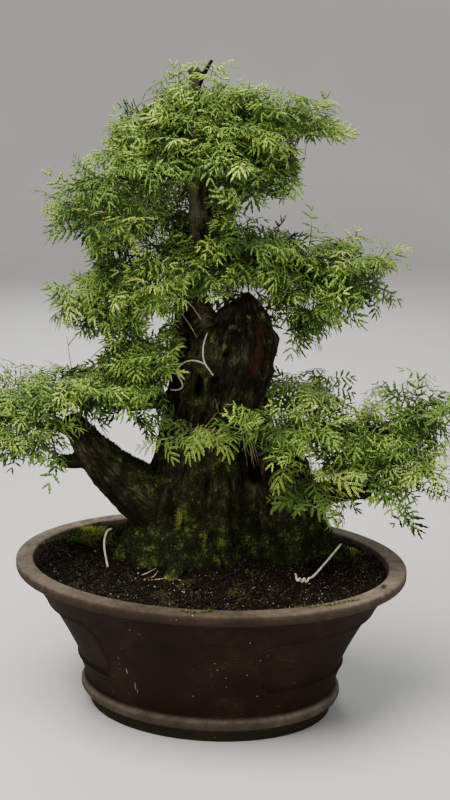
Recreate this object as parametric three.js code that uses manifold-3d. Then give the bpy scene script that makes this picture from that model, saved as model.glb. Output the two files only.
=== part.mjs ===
// A gum arabic tree grown as a bonsai in an oval unglazed pot.
// Millimetres, Z up. The pot's long axis is X and its foot stands on the plane z = 0.
// The tree is drawn in its own frame, seen from its front (X right, Y away, Z up), and turned in the pot.
import * as THREE from "three";
import { mergeVertices } from "three/addons/utils/BufferGeometryUtils.js";
import Module from "manifold-3d";

const wasm = await Module();
wasm.setup();

// Driving dimensions
const POT_LENGTH = 450;
const POT_WIDTH = 350;
const POT_HEIGHT = 173;
const LIP_WIDTH = 20;
const LIP_THICKNESS = 11;
const POT_WALL = 13;
const POT_FLOOR = 20;
const FOOT_RECESS = 7;
const FOOT_RING_WIDTH = 14;
const FOOT_HALF_LENGTH = 141;
const BEAD_HALF_LENGTH = 152;
const DRAIN_RADIUS = 14;
const DRAIN_SPACING = 120;
const SCREEN_SIDE = 46;
const SCREEN_THICKNESS = 1.6;
const SOIL_BELOW_LIP = 9;
const SOIL_MOUND = 5;
const WOOD_DEPTH_IN_SOIL = 24;
const TREE_TURN = THREE.MathUtils.degToRad(15);
const ANCHOR_WIRE_RADIUS = 1.5;
const TRAINING_WIRE_RADIUS = 1.1;
const TOUCH_GAP = 0.4;
const LEAF_THICKNESS = 1.7;
const LEAF_SEED = 20;
const LEAF_TRIES = 9;

const UP = new THREE.Vector3(0, 0, 1);
const smooth = (t) => t * t * (3 - 2 * t);
const lerp = THREE.MathUtils.lerp;
const v3 = (x, y, z) => new THREE.Vector3(x, y, z);
const direction = (azimuth, rise) =>
  v3(1, 0, 0).applyAxisAngle(v3(0, -1, 0), rise).applyAxisAngle(UP, azimuth);

// Seeded random numbers from 0 to 1
function randomSource(seed) {
  let state = seed >>> 0;
  return () => {
    state = (state + 0x6d2b79f5) >>> 0;
    let t = state;
    t = Math.imul(t ^ (t >>> 15), t | 1);
    t ^= t + Math.imul(t ^ (t >>> 7), t | 61);
    return ((t ^ (t >>> 14)) >>> 0) / 4294967296;
  };
}

// A closed mesh of points and triangles, turned so that its faces point out
function closedGeometry(points, triangles) {
  let volume = 0;
  const normal = new THREE.Vector3();
  for (const [a, b, c] of triangles)
    volume += normal.crossVectors(points[b], points[c]).dot(points[a]);
  const faces = volume < 0 ? triangles.map(([a, b, c]) => [a, c, b]) : triangles;
  const geometry = new THREE.BufferGeometry();
  const position = new Float32Array(points.flatMap((p) => [p.x, p.y, p.z]));
  geometry.setAttribute("position", new THREE.BufferAttribute(position, 3));
  geometry.setIndex(faces.flat());
  return geometry;
}

// Closed loops of equal length, joined side to side, with a fan over each end
function loft(loops, startPoint, endPoint) {
  const count = loops[0].length;
  const points = loops.flat();
  const triangles = [];
  for (let k = 0; k + 1 < loops.length; k++)
    for (let j = 0; j < count; j++) {
      const a = k * count + j;
      const b = k * count + ((j + 1) % count);
      triangles.push([a, b, b + count], [a, b + count, a + count]);
    }
  const last = (loops.length - 1) * count;
  const start = points.push(startPoint ?? middle(loops[0])) - 1;
  const end = points.push(endPoint ?? middle(loops.at(-1))) - 1;
  for (let j = 0; j < count; j++) {
    const next = (j + 1) % count;
    triangles.push([start, next, j], [end, last + j, last + next]);
  }
  return closedGeometry(points, triangles);
}

function middle(loop) {
  const sum = new THREE.Vector3();
  loop.forEach((p) => sum.add(p));
  return sum.divideScalar(loop.length);
}

// From geometry to a solid for cutting and joining, and back
function solidOf(geometry) {
  const bare = geometry.clone();
  bare.deleteAttribute("normal");
  bare.deleteAttribute("uv");
  const merged = mergeVertices(bare, 1e-3);
  return new wasm.Manifold(
    new wasm.Mesh({
      numProp: 3,
      vertProperties: new Float32Array(merged.attributes.position.array),
      triVerts: new Uint32Array(merged.index.array),
    }),
  );
}

function geometryOf(solid) {
  const mesh = solid.getMesh();
  const position = new Float32Array(mesh.numVert * 3);
  for (let i = 0; i < mesh.numVert; i++)
    for (let k = 0; k < 3; k++) position[3 * i + k] = mesh.vertProperties[i * mesh.numProp + k];
  const indexed = new THREE.BufferGeometry();
  indexed.setAttribute("position", new THREE.BufferAttribute(position, 3));
  indexed.setIndex(new THREE.BufferAttribute(new Uint32Array(mesh.triVerts), 1));
  const flat = indexed.toNonIndexed();
  flat.computeVertexNormals();
  return flat;
}

const joined = (solids) => solids.reduce((all, next) => all.add(next));
const overlap = (a, b) => a.intersect(b).volume() > 0;
const largest = (solid) => solid.decompose().sort((a, b) => b.volume() - a.volume())[0];

// A round limb along a path of [x, y, z, radius], with a dent or two in its section so that it isn't a pipe
function limb(path, { sides = 8, grow = 0, ribs = 0, blunt = 0.5 } = {}) {
  const centres = path.map(([x, y, z]) => v3(x, y, z));
  const loops = [];
  let across = null;
  centres.forEach((centre, k) => {
    const before = centres[Math.max(0, k - 1)];
    const after = centres[Math.min(centres.length - 1, k + 1)];
    const along = after.clone().sub(before).normalize();
    across ??= Math.abs(along.z) > 0.7 ? v3(1, 0, 0) : v3(0, 0, 1);
    across = across.clone().addScaledVector(along, -across.dot(along)).normalize();
    const other = along.clone().cross(across);
    const radius = path[k][3] + grow;
    if (k === 0) centre.addScaledVector(along, -grow);
    if (k === centres.length - 1) centre.addScaledVector(along, grow);
    loops.push(
      Array.from({ length: sides }, (_, j) => {
        const angle = (2 * Math.PI * j) / sides;
        const bark = 1 + ribs * Math.cos(3 * angle + 0.9 * k) + 0.6 * ribs * Math.cos(5 * angle - k);
        return centre
          .clone()
          .addScaledVector(across, radius * bark * Math.cos(angle))
          .addScaledVector(other, radius * bark * Math.sin(angle));
      }),
    );
  });
  const tip = (near, far, radius) => far.clone().sub(near).setLength(radius * blunt).add(far);
  const start = tip(centres[1], centres[0], path[0][3] + grow);
  const end = tip(centres.at(-2), centres.at(-1), path.at(-1)[3] + grow);
  return loft(loops, start, end);
}

// Pot: oval rings [half length, half width, height], from the underside up the outside, down to the floor
const HALF_LENGTH = POT_LENGTH / 2;
const HALF_WIDTH = POT_WIDTH / 2;
const OVAL = HALF_WIDTH / HALF_LENGTH;
const round = (halfLength, z) => [halfLength, halfLength * OVAL, z];
const inset = (depth, z) => [HALF_LENGTH - depth, HALF_WIDTH - depth, z];

const WALL_FOOT = 36;
const WALL_TOP = POT_HEIGHT - LIP_THICKNESS;
const WALL_FOOT_HALF = 147;
const WALL_TOP_HALF = 212;
const WALL_FLARE = 1.25;
function wallHalfLength(z) {
  const t = THREE.MathUtils.clamp((z - WALL_FOOT) / (WALL_TOP - WALL_FOOT), 0, 1);
  return lerp(WALL_FOOT_HALF, WALL_TOP_HALF, t ** WALL_FLARE);
}

// A sunk panel wraps each end of the oval, with plain wall between at front and back
const PANEL = { from: 58, to: 128, reach: THREE.MathUtils.degToRad(61), depth: 2.4, edge: 2.6 };
const COLUMN_ANGLES = (() => {
  const edge = PANEL.edge / (BEAD_HALF_LENGTH * 0.9);
  const marks = [PANEL.reach - edge, PANEL.reach];
  const quarter = [0, 13, 26, 38, 49].map(THREE.MathUtils.degToRad);
  const rest = [70, 80].map(THREE.MathUtils.degToRad);
  const first = [...quarter, ...marks, ...rest];
  const top = [...first, ...first.slice(1).map((t) => Math.PI - t).reverse(), Math.PI];
  return [...top.slice(0, -1), ...top.slice(0, -1).map((t) => t + Math.PI)];
})();

function ovalRing([halfLength, halfWidth, z], angles = COLUMN_ANGLES) {
  return angles.map((t) => v3(halfLength * Math.cos(t), halfWidth * Math.sin(t), z));
}

function inPanel(angle) {
  const fromEnd = Math.min(Math.abs(Math.sin(angle / 2)), Math.abs(Math.cos(angle / 2)));
  return 2 * Math.asin(fromEnd) < PANEL.reach - 1e-6;
}

function wallRing(z, sunk) {
  return COLUMN_ANGLES.map((t) => {
    const half = wallHalfLength(z) - (sunk && inPanel(t) ? PANEL.depth : 0);
    return v3(half * Math.cos(t), half * OVAL * Math.sin(t), z);
  });
}

const INNER_RINGS = [
  inset(LIP_WIDTH, POT_HEIGHT - 2),
  inset(LIP_WIDTH + 5, POT_HEIGHT - 16),
  round(wallHalfLength(110) - POT_WALL, 110),
  round(WALL_FOOT_HALF - POT_WALL, 44),
  round(WALL_FOOT_HALF - POT_WALL - 10, POT_FLOOR),
];

function makePot() {
  const foot = FOOT_HALF_LENGTH;
  const bead = BEAD_HALF_LENGTH;
  const loops = [
    ...[
      round(foot - FOOT_RING_WIDTH - 2, FOOT_RECESS),
      round(foot - FOOT_RING_WIDTH, 0),
      round(foot, 0),
      round(foot + 2.5, 13),
      round(bead - 4, 16),
      round(bead, 20),
      round(bead - 0.5, 25),
      round(bead - 5.5, 30),
    ].map((ring) => ovalRing(ring)),
    wallRing(WALL_FOOT, false),
    wallRing(PANEL.from - PANEL.edge, false),
    wallRing(PANEL.from, true),
    wallRing(lerp(PANEL.from, PANEL.to, 0.5), true),
    wallRing(PANEL.to, true),
    wallRing(PANEL.to + PANEL.edge, false),
    wallRing(WALL_TOP, false),
    ovalRing(inset(2, WALL_TOP - 0.5)),
    ovalRing(inset(0, WALL_TOP + 2)),
    ovalRing(inset(0, POT_HEIGHT - 2)),
    ovalRing(inset(2, POT_HEIGHT)),
    ovalRing(inset(LIP_WIDTH - 2, POT_HEIGHT)),
    ...INNER_RINGS.map((ring) => ovalRing(ring)),
  ];
  let pot = solidOf(loft(loops, v3(0, 0, FOOT_RECESS), v3(0, 0, POT_FLOOR)));
  for (const x of [-DRAIN_SPACING / 2, DRAIN_SPACING / 2]) {
    const drill = new THREE.CylinderGeometry(DRAIN_RADIUS, DRAIN_RADIUS, 2 * POT_FLOOR, 12);
    drill.rotateX(Math.PI / 2).translate(x, 0, POT_FLOOR / 2);
    pot = pot.subtract(solidOf(drill));
  }
  return pot;
}

// Drain screens: a square mesh over each drain hole, under the soil
const SCREEN_Z = POT_FLOOR + TOUCH_GAP;
const SCREEN_HOLES = [-0.5, 0.5];
function makeScreen(x) {
  const pitch = SCREEN_SIDE / 2.4;
  const z = SCREEN_Z + SCREEN_THICKNESS / 2;
  const plate = new THREE.BoxGeometry(SCREEN_SIDE, SCREEN_SIDE, SCREEN_THICKNESS);
  let screen = solidOf(plate.translate(x, 0, z));
  for (const i of SCREEN_HOLES)
    for (const j of SCREEN_HOLES) {
      const hole = new THREE.BoxGeometry(pitch * 0.7, pitch * 0.7, 2 * SCREEN_THICKNESS);
      screen = screen.subtract(solidOf(hole.translate(x + i * pitch, j * pitch, z)));
    }
  return screen;
}

// Trunk: levels of [height, x, y, half width, half depth, root flare]
const ROOT_BOTTOM = POT_HEIGHT - SOIL_BELOW_LIP - WOOD_DEPTH_IN_SOIL;
const TRUNK_LEVELS = [
  [ROOT_BOTTOM, -28, 26, 70, 52, 0.26],
  [172, -28, 26, 70, 52, 0.26],
  [188, -27, 26, 68, 50, 0.17],
  [210, -25, 26, 65, 48, 0.1],
  [234, -22, 25, 60, 46, 0.06],
  [262, -17, 24, 54, 44, 0.03],
  [294, -12, 23, 50, 42, 0],
  [340, -4, 22, 48, 41, 0],
  [382, 9, 22, 54, 42, 0],
  [404, 15, 22, 59, 41, 0],
  [424, 18, 21, 60, 37, 0],
  [440, 14, 21, 54, 30, 0],
];
const ROOT_LOBES = [-165, -118, -88, -52, -12, 45, 92, 140].map(THREE.MathUtils.degToRad);
const TRUNK_COLUMNS = 22;
const BARK_RIDGE = 2.4;

function trunkLoop([z, x, y, halfWidth, halfDepth, flare], grow) {
  return Array.from({ length: TRUNK_COLUMNS }, (_, j) => {
    const angle = (2 * Math.PI * j) / TRUNK_COLUMNS;
    let lobes = 0;
    for (const lobe of ROOT_LOBES) lobes += Math.exp(-((Math.sin((angle - lobe) / 2) / 0.13) ** 2));
    const ridge = BARK_RIDGE * (Math.cos(7 * angle + z / 55) + 0.7 * Math.cos(12 * angle - z / 70));
    const reach = 1 + flare * lobes;
    return v3(
      x + (halfWidth * reach + ridge + grow) * Math.cos(angle),
      y + (halfDepth * reach + ridge + grow) * Math.sin(angle),
      z,
    );
  });
}

const STUB = [
  [24, 22, 330, 22],
  [38, 22, 362, 26],
  [46, 22, 388, 29],
  [48, 21, 412, 30],
  [46, 20, 430, 29],
  [44, 18, 448, 24],
  [43, 16, 463, 15],
  [43, 15, 475, 5],
];
const LEADER = [
  [-6, 24, 415, 32],
  [-14, 22, 440, 27],
  [-17, 20, 461, 21],
  [-15, 18, 480, 15],
  [-11, 15, 502, 10.5],
  [-12, 11, 530, 9.5],
  [-10, 8, 560, 11],
  [-12, 8, 578, 9.2],
  [-10, 8, 615, 9],
  [-11, 6, 645, 7],
  [-13, 3, 680, 6],
  [-14, 0, 716, 6.6],
];
const RIGHT_STEM = [
  [95, 28, ROOT_BOTTOM, 48],
  [95, 28, 176, 48],
  [94, 28, 204, 44],
  [91, 25, 240, 38],
  [86, 21, 274, 30],
  [86, 14, 302, 22],
  [98, 6, 320, 16],
  [135, -5, 322, 11.5],
  [172, -15, 322, 9],
  [196, -20, 324, 7],
];
const STEM_WEB = [
  [58, 44, ROOT_BOTTOM, 32],
  [60, 44, 200, 30],
  [56, 42, 280, 26],
  [50, 40, 352, 22],
];
const RIGHT_LOW_BRANCH = [
  [104, 20, 228, 24],
  [137, 2, 250, 15],
  [162, -16, 256, 10],
  [178, -28, 258, 7.5],
];
const LEFT_LIMB = [
  [-38, 24, 210, 40],
  [-67, 18, 236, 36],
  [-90, 10, 258, 30],
  [-112, 1, 280, 25],
  [-131, -8, 305, 20],
  [-144, -14, 328, 15],
  [-151, -16, 342, 11],
];
const LEFT_KNOB = [
  [-128, -6, 296, 12],
  [-150, -8, 290, 9],
  [-166, -9, 291, 8],
];
const ROOTS = [
  [
    [-70, 36, 178, 20],
    [-118, 50, 174, 18],
    [-162, 66, 171, 15],
  ],
  [
    [118, 14, 178, 22],
    [146, 6, 170, 17],
    [170, 2, 166, 13],
  ],
  [
    [-28, -16, 186, 15],
    [-36, -44, 172, 11],
    [-42, -66, 163, 8],
  ],
  [
    [22, 26, 176, 30],
    [60, 28, 186, 25],
    [86, 28, 182, 25],
  ],
  [
    [-52, 66, 180, 17],
    [-76, 90, 171, 13],
    [-96, 108, 163, 9],
  ],
  [
    [60, 62, 180, 18],
    [78, 84, 171, 14],
    [96, 102, 163, 9],
  ],
];

// Side branches: each ends inside a leafy spray's reach, where the spray's own twig takes over
const BRANCHES = {
  topRight: [
    [-8, 8, 628, 6.5],
    [18, 4, 636, 5.6],
    [48, 2, 620, 5],
    [72, 6, 604, 4.2],
    [96, 8, 606, 3.6],
  ],
  apexSprig: [
    [-12, 2, 694, 4],
    [-4, 0, 710, 3],
    [5, -2, 725, 2.2],
  ],
  topRightFork: [
    [44, 2, 622, 4.6],
    [66, -4, 640, 3.8],
    [84, -4, 646, 3.2],
  ],
  upperLeft: [
    [-14, 8, 606, 6.5],
    [-40, 4, 610, 5.6],
    [-66, -4, 606, 4.8],
    [-100, -6, 600, 4],
    [-124, -6, 592, 3.2],
  ],
  midRight: [
    [-8, 12, 512, 8],
    [16, 2, 516, 6.8],
    [44, -8, 514, 5.8],
    [78, -12, 505, 4.8],
    [112, -10, 500, 4],
  ],
  midLeft: [
    [-14, 18, 486, 8],
    [-42, 10, 482, 6.4],
    [-70, 8, 476, 5.4],
    [-98, 10, 470, 4.4],
  ],
  backHigh: [
    [-10, 12, 548, 7],
    [-2, 34, 556, 5.6],
    [2, 52, 566, 4.4],
  ],
  leftInner: [
    [-30, 12, 352, 14],
    [-62, -2, 358, 10],
    [-88, -8, 352, 6.5],
  ],
  leftOuter: [
    [-142, -14, 326, 13],
    [-166, -20, 336, 8],
    [-184, -22, 334, 5.5],
  ],
  backLow: [
    [0, 54, 352, 12],
    [4, 76, 358, 8],
    [6, 92, 352, 5.5],
  ],
  frontLow: [
    [92, 4, 304, 13],
    [92, -20, 312, 7.5],
    [80, -42, 322, 5],
  ],
};

// Leafy sprays: the middle and half sizes of each, the point in the wood that it grows from, and its leaves
const SPRAYS = [
  { name: "apex_left", at: [-39, -4, 687], size: [30, 32, 20], from: [-13, 3, 681], leaves: 6 },
  { name: "apex_right", at: [22, 4, 688], size: [30, 32, 20], from: [-13, 3, 671], leaves: 6 },
  { name: "top_left", at: [-68, 9, 651], size: [32, 34, 22], from: [-60, -2, 607], leaves: 6 },
  { name: "top_right", at: [63, -22, 672], size: [34, 32, 22], from: [70, -4, 642], leaves: 6 },
  { name: "top_far_right", at: [107, 8, 652], size: [30, 32, 24], from: [84, -4, 646], leaves: 6 },
  { name: "top_hanging", at: [58, -32, 606], size: [36, 32, 24], from: [62, 4, 612], leaves: 6 },
  { name: "top_front", at: [-2, -50, 636], size: [34, 26, 24], from: [2, 6, 632], leaves: 5 },
  { name: "top_back", at: [-5, 66, 626], size: [42, 34, 30], from: [2, 50, 565], leaves: 5 },
  { name: "upper_left", at: [-91, -36, 607], size: [36, 32, 22], from: [-84, -5, 603], leaves: 6 },
  { name: "outer_left", at: [-142, 2, 570], size: [32, 34, 24], from: [-122, -6, 593], leaves: 6 },
  { name: "left_shoulder", at: [-57, 32, 561], size: [32, 30, 26], from: [-10, 12, 548], leaves: 6 },
  { name: "right_shoulder", at: [26, 40, 566], size: [28, 28, 28], from: [0, 42, 560], leaves: 5 },
  { name: "mid_left", at: [-85, -20, 525], size: [38, 34, 26], from: [-70, 8, 476], leaves: 6 },
  { name: "mid_right", at: [51, -36, 530], size: [36, 30, 24], from: [50, -9, 512], leaves: 6 },
  { name: "mid_far_right", at: [110, 24, 515], size: [34, 34, 26], from: [94, -11, 503], leaves: 6 },
  { name: "mid_outer_right", at: [163, -4, 508], size: [32, 34, 28], from: [112, -10, 500], leaves: 6 },
  { name: "mid_front", at: [6, -40, 502], size: [30, 24, 20], from: [20, 1, 516], leaves: 5 },
  { name: "mid_inner_left", at: [-44, -46, 476], size: [30, 26, 22], from: [-46, 10, 481], leaves: 5 },
  { name: "mid_outer_left", at: [-132, 8, 471], size: [34, 34, 28], from: [-96, 10, 470], leaves: 6 },
  { name: "mid_low_left", at: [-75, 4, 421], size: [38, 34, 20], from: [-60, -2, 358], leaves: 6 },
  { name: "mid_low_right", at: [101, 4, 454], size: [34, 32, 24], from: [80, -12, 505], leaves: 6 },
  { name: "mid_back", at: [14, 80, 492], size: [44, 34, 32], from: [-15, 20, 476], leaves: 5 },
  { name: "low_outer_left", at: [-221, -6, 371], size: [32, 36, 26], from: [-184, -22, 334], leaves: 6 },
  { name: "low_left", at: [-159, -30, 381], size: [34, 34, 24], from: [-160, -18, 334], leaves: 6 },
  { name: "low_hanging_left", at: [-199, -42, 322], size: [34, 32, 22], from: [-176, -22, 335], leaves: 6 },
  { name: "low_inner_left", at: [-100, -34, 379], size: [34, 30, 22], from: [-86, -8, 352], leaves: 6 },
  { name: "low_trunk_left", at: [-41, -52, 399], size: [26, 22, 18], from: [-66, -3, 357], leaves: 4 },
  { name: "low_back_left", at: [-112, 48, 367], size: [44, 34, 26], from: [-80, -6, 354], leaves: 5 },
  { name: "low_back_right", at: [91, 50, 362], size: [40, 34, 22], from: [100, 5, 320], leaves: 5 },
  { name: "low_right", at: [155, -46, 337], size: [34, 32, 24], from: [150, -8, 322], leaves: 6 },
  { name: "low_outer_right", at: [240, -8, 353], size: [36, 36, 28], from: [196, -20, 324], leaves: 6 },
  { name: "low_hanging_right", at: [218, -46, 287], size: [36, 34, 26], from: [178, -28, 258], leaves: 6 },
  { name: "low_front_right", at: [111, -70, 285], size: [34, 28, 24], from: [91, -22, 313], leaves: 6 },
  { name: "low_mid_right", at: [73, -60, 344], size: [30, 26, 20], from: [86, -30, 317], leaves: 5 },
  { name: "low_under_right", at: [175, 26, 275], size: [32, 32, 22], from: [158, -13, 255], leaves: 5 },
  { name: "low_back", at: [6, 122, 356], size: [48, 34, 26], from: [6, 92, 352], leaves: 5 },
  { name: "front_twig", at: [-18, -78, 346], size: [34, 14, 16], from: [78, -42, 322], leaves: 4 },
];

const SPRAY_TWIG_RADIUS = 3;
const SPRAY_CORE_SHARE = 0.52;

// Everything of the wood that meets the soil, with room to spare where it cuts the hole for itself
function baseWood(grow = 0) {
  const trunk = solidOf(loft(TRUNK_LEVELS.map((level) => trunkLoop(level, grow))));
  const stem = solidOf(limb(RIGHT_STEM, { sides: 10, ribs: 0.045, grow, blunt: 0 }));
  const roots = ROOTS.map((path) => solidOf(limb(path, { sides: 5, ribs: 0.06, grow })));
  const web = solidOf(limb(STEM_WEB, { sides: 6, ribs: 0.05, grow, blunt: 0 }));
  return joined([trunk, stem, web, ...roots]);
}

function hollow(x, y, z, width, depth, height) {
  const shape = new THREE.OctahedronGeometry(1, 1);
  shape.scale(width / 2, depth / 2, height / 2).translate(x, y, z);
  return solidOf(shape);
}

const LIMBS = [
  [STUB, { sides: 9, ribs: 0.07 }],
  [LEADER, { sides: 7, ribs: 0.05, blunt: 0 }],
  [RIGHT_LOW_BRANCH, { sides: 6, ribs: 0.05 }],
  [LEFT_LIMB, { sides: 9, ribs: 0.05 }],
  [LEFT_KNOB, { sides: 5, ribs: 0.08 }],
  ...Object.values(BRANCHES).map((path) => [path, { sides: 5, ribs: 0.05 }]),
];
function makeWood(grow = 0) {
  const limbs = LIMBS.map(([path, look]) => solidOf(limb(path, { ...look, grow })));
  return joined([baseWood(grow), ...limbs]).subtract(hollow(-8, -24, 374, 12, 22, 40));
}

// Wires: bent by hand, each a tube along a smooth path
function wire(path, radius, steps, grow = 0) {
  const curve = new THREE.CatmullRomCurve3(path.map((p) => v3(...p)), false, "centripetal");
  const points = curve.getSpacedPoints(steps);
  return limb(
    points.map((p) => [p.x, p.y, p.z, radius]),
    { sides: 5, blunt: 0.6, grow },
  );
}

const SOIL_LEVEL = POT_HEIGHT - SOIL_BELOW_LIP;
const ANCHOR_LEFT = [
  [-112, 24, 200],
  [-117, 10, 201],
  [-119, -2, 190],
  [-116, -12, 176],
  [-113, -20, SOIL_LEVEL],
  [-112, -22, SOIL_LEVEL - 8],
];
const ANCHOR_COIL_Z = SOIL_LEVEL + 7.4;
const ANCHOR_RIGHT = (() => {
  const straight = [
    [148, -26, 198],
    [129, -46, 183],
    [112, -65, ANCHOR_COIL_Z + 1],
  ];
  const turns = 3;
  const coil = Array.from({ length: 8 * turns }, (_, i) => {
    const angle = (2 * Math.PI * i) / 8;
    const curl = Math.max(0, i - 18);
    return [109 - i * 0.62, -69 - 3 * Math.sin(angle), ANCHOR_COIL_Z + 3 * Math.cos(angle) + curl];
  });
  return [...straight, ...coil];
})();
// The training wires lie on the front of the trunk: [x, z, how far it stands off the bark]
const TRUNK_HOOK = [
  [-1, 436, 0],
  [-5, 426, 3],
  [-6, 415, 4],
  [-4, 404, 3],
  [1, 397, 0],
  [5, 391, 0],
];
const BRANCH_LOOP = [
  [-2, 402, 0],
  [-12, 407, 2],
  [-24, 405, 5],
  [-33, 398, 7],
  [-34, 388, 6],
  [-27, 379, 3],
  [-31, 372, 1],
  [-42, 370, 0],
];
const RAY_SPREAD = [-1.6, 0, 1.6];
function onBark(path, wood, radius) {
  const bark = new THREE.Mesh(geometryOf(wood));
  const ray = new THREE.Raycaster();
  return path.map(([x, z, lift]) => {
    let front = Infinity;
    for (const dx of RAY_SPREAD)
      for (const dz of RAY_SPREAD) {
        ray.set(v3(x + dx, -300, z + dz), v3(0, 1, 0));
        const hit = ray.intersectObject(bark)[0];
        if (hit) front = Math.min(front, hit.point.y);
      }
    return [x, front - radius - TOUCH_GAP - lift, z];
  });
}

// Soil: fills the pot inside its wall, mounded a little towards the trunk
const SOIL_COLUMNS = COLUMN_ANGLES.filter((_, i) => i % 2 === 0);
function soilTopRing(share) {
  return SOIL_COLUMNS.map((t, j) => {
    const [halfLength, halfWidth] = inset(LIP_WIDTH + 3 + TOUCH_GAP, 0);
    const lump = share < 1 ? 1.2 * Math.sin(3 * t + 5 * share) + 0.9 * Math.cos(5 * t + j) : 0;
    const z = SOIL_LEVEL + SOIL_MOUND * smooth(1 - share) + lump;
    return v3(share * halfLength * Math.cos(t), share * halfWidth * Math.sin(t), z);
  });
}

function makeSoil(cutters) {
  const walls = [...INNER_RINGS.slice(1)].reverse().map(([halfLength, halfWidth, z], k) =>
    ovalRing([halfLength - TOUCH_GAP, halfWidth - TOUCH_GAP, k === 0 ? z + TOUCH_GAP : z], SOIL_COLUMNS),
  );
  const tops = [1, 0.86, 0.68, 0.46].map(soilTopRing);
  let soil = solidOf(
    loft([...walls, ...tops], v3(0, 0, POT_FLOOR + TOUCH_GAP), v3(0, 0, SOIL_LEVEL + SOIL_MOUND)),
  );
  for (const x of [-DRAIN_SPACING / 2, DRAIN_SPACING / 2]) {
    const side = SCREEN_SIDE + 2 * TOUCH_GAP;
    const pocket = new THREE.BoxGeometry(side, side, 2 * (SCREEN_THICKNESS + TOUCH_GAP));
    pocket.translate(x, 0, SCREEN_Z);
    soil = soil.subtract(solidOf(pocket));
  }
  const turn = new THREE.Matrix4().makeRotationZ(TREE_TURN);
  for (const cutter of cutters) soil = soil.subtract(solidOf(geometryOf(cutter).applyMatrix4(turn)));
  return largest(soil);
}

// Leaf: one twice-feathered leaf, its side leaflets cut to the rib along each edge of a thin arched blade
const LEAF_TEETH = [
  { tip: [0.46, 0.96], notch: [0.5, 0.2] },
  { tip: [0.78, 0.86], notch: [0.83, 0.15] },
];
const LEAF_RIB = [0.4, 0.72];

function leafGeometry(length, halfWidth, arch, grow) {
  const reach = length + 2 * grow;
  const bend = (s, w) => -arch * length * s * s - 0.16 * halfWidth * Math.abs(w) ** 2;
  const place = (s, w, lift) => v3(s * reach, w * (halfWidth + grow), bend(s, w) + lift);
  const side = LEAF_TEETH.flatMap(({ tip, notch }) => [tip, notch]);
  const edge = [
    [0, 0.1],
    ...side,
    [1, 0],
    ...side.map(([s, w]) => [s, -w]).reverse(),
    [0, -0.1],
  ];
  const points = edge.map(([s, w]) => place(s, w, 0));
  const lift = LEAF_THICKNESS / 2 + grow;
  const [topNear, topFar] = LEAF_RIB.map((s) => points.push(place(s, 0, lift)) - 1);
  const [lowNear, lowFar] = LEAF_RIB.map((s) => points.push(place(s, 0, -lift)) - 1);
  const split = 3;
  const last = edge.length - 1;
  const triangles = [];
  for (let i = 0; i < last; i++) {
    const near = i < split || i >= last - split;
    triangles.push([i, i + 1, near ? topNear : topFar], [i + 1, i, near ? lowNear : lowFar]);
  }
  for (const [near, far, flip] of [
    [topNear, topFar, false],
    [lowNear, lowFar, true],
  ]) {
    const faces = [
      [near, split, far],
      [near, far, last - split],
      [last, 0, near],
    ];
    triangles.push(...faces.map(([a, b, c]) => (flip ? [a, c, b] : [a, b, c])));
  }
  return closedGeometry(points, triangles);
}

// A leaf on a spray's core: high on the core it points up and out, low on the core it hangs
function leafOnCore(spray, number, random, tries) {
  const [halfX, halfY] = spray.size;
  const azimuth = number * 2.39996 + tries * 0.7 + spray.name.length;
  const share = (number + 0.5) / spray.leaves;
  const height = Math.asin(lerp(-0.5, 0.9, share)) + (random() - 0.5) * 0.2;
  const slope = lerp(-0.5, 0.5, share) + (random() - 0.5) * 0.3 - 0.12 * (tries % 3);
  const out = direction(azimuth, height);
  const along = direction(azimuth, slope);
  along.multiply(v3(halfX, halfY, Math.max(halfX, halfY))).normalize();
  const across = UP.clone().cross(along).normalize();
  const face = along.clone().cross(across);
  const roll = (random() - 0.5) * 1.7;
  const wide = across.clone().multiplyScalar(Math.cos(roll)).addScaledVector(face, Math.sin(roll));
  const high = along.clone().cross(wide);
  const root = onCore(spray, out, 0.62);
  const length = THREE.MathUtils.clamp(Math.max(halfX, halfY) * 1.3, 36, 62) * lerp(0.9, 1.12, random());
  const matrix = new THREE.Matrix4().makeBasis(along, wide, high).setPosition(root);
  const arch = lerp(0.06, 0.24, random());
  return (grow) => solidOf(leafGeometry(length, length * 0.5, arch, grow).applyMatrix4(matrix));
}

// A point on the lumpy core of a spray, or part of the way out to it
function onCore(spray, out, share = 1) {
  const wave = Math.sin(3.1 * out.x + 4.3 * out.y + spray.at[0]) * Math.cos(3.7 * out.z + spray.at[2]);
  const lump = 1 + 0.16 * wave;
  const reach = SPRAY_CORE_SHARE * lump * share;
  return out.clone().multiply(v3(...spray.size)).multiplyScalar(reach).add(v3(...spray.at));
}

function sprayCore(spray) {
  const core = new THREE.IcosahedronGeometry(1, 0);
  const position = core.attributes.position;
  for (let i = 0; i < position.count; i++) {
    const out = new THREE.Vector3().fromBufferAttribute(position, i);
    position.setXYZ(i, ...onCore(spray, out));
  }
  return solidOf(core);
}

// The core of a spray on its own twig, which stands a hair's breadth off the wood that bears it
function sprayStem(spray, woodAndGap) {
  const twig = limb(
    [
      [...spray.from, SPRAY_TWIG_RADIUS],
      [...spray.at, SPRAY_TWIG_RADIUS * 0.7],
    ],
    { sides: 4, blunt: 0 },
  );
  return { twig: largest(solidOf(twig).subtract(woodAndGap)), core: sprayCore(spray) };
}

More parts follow.
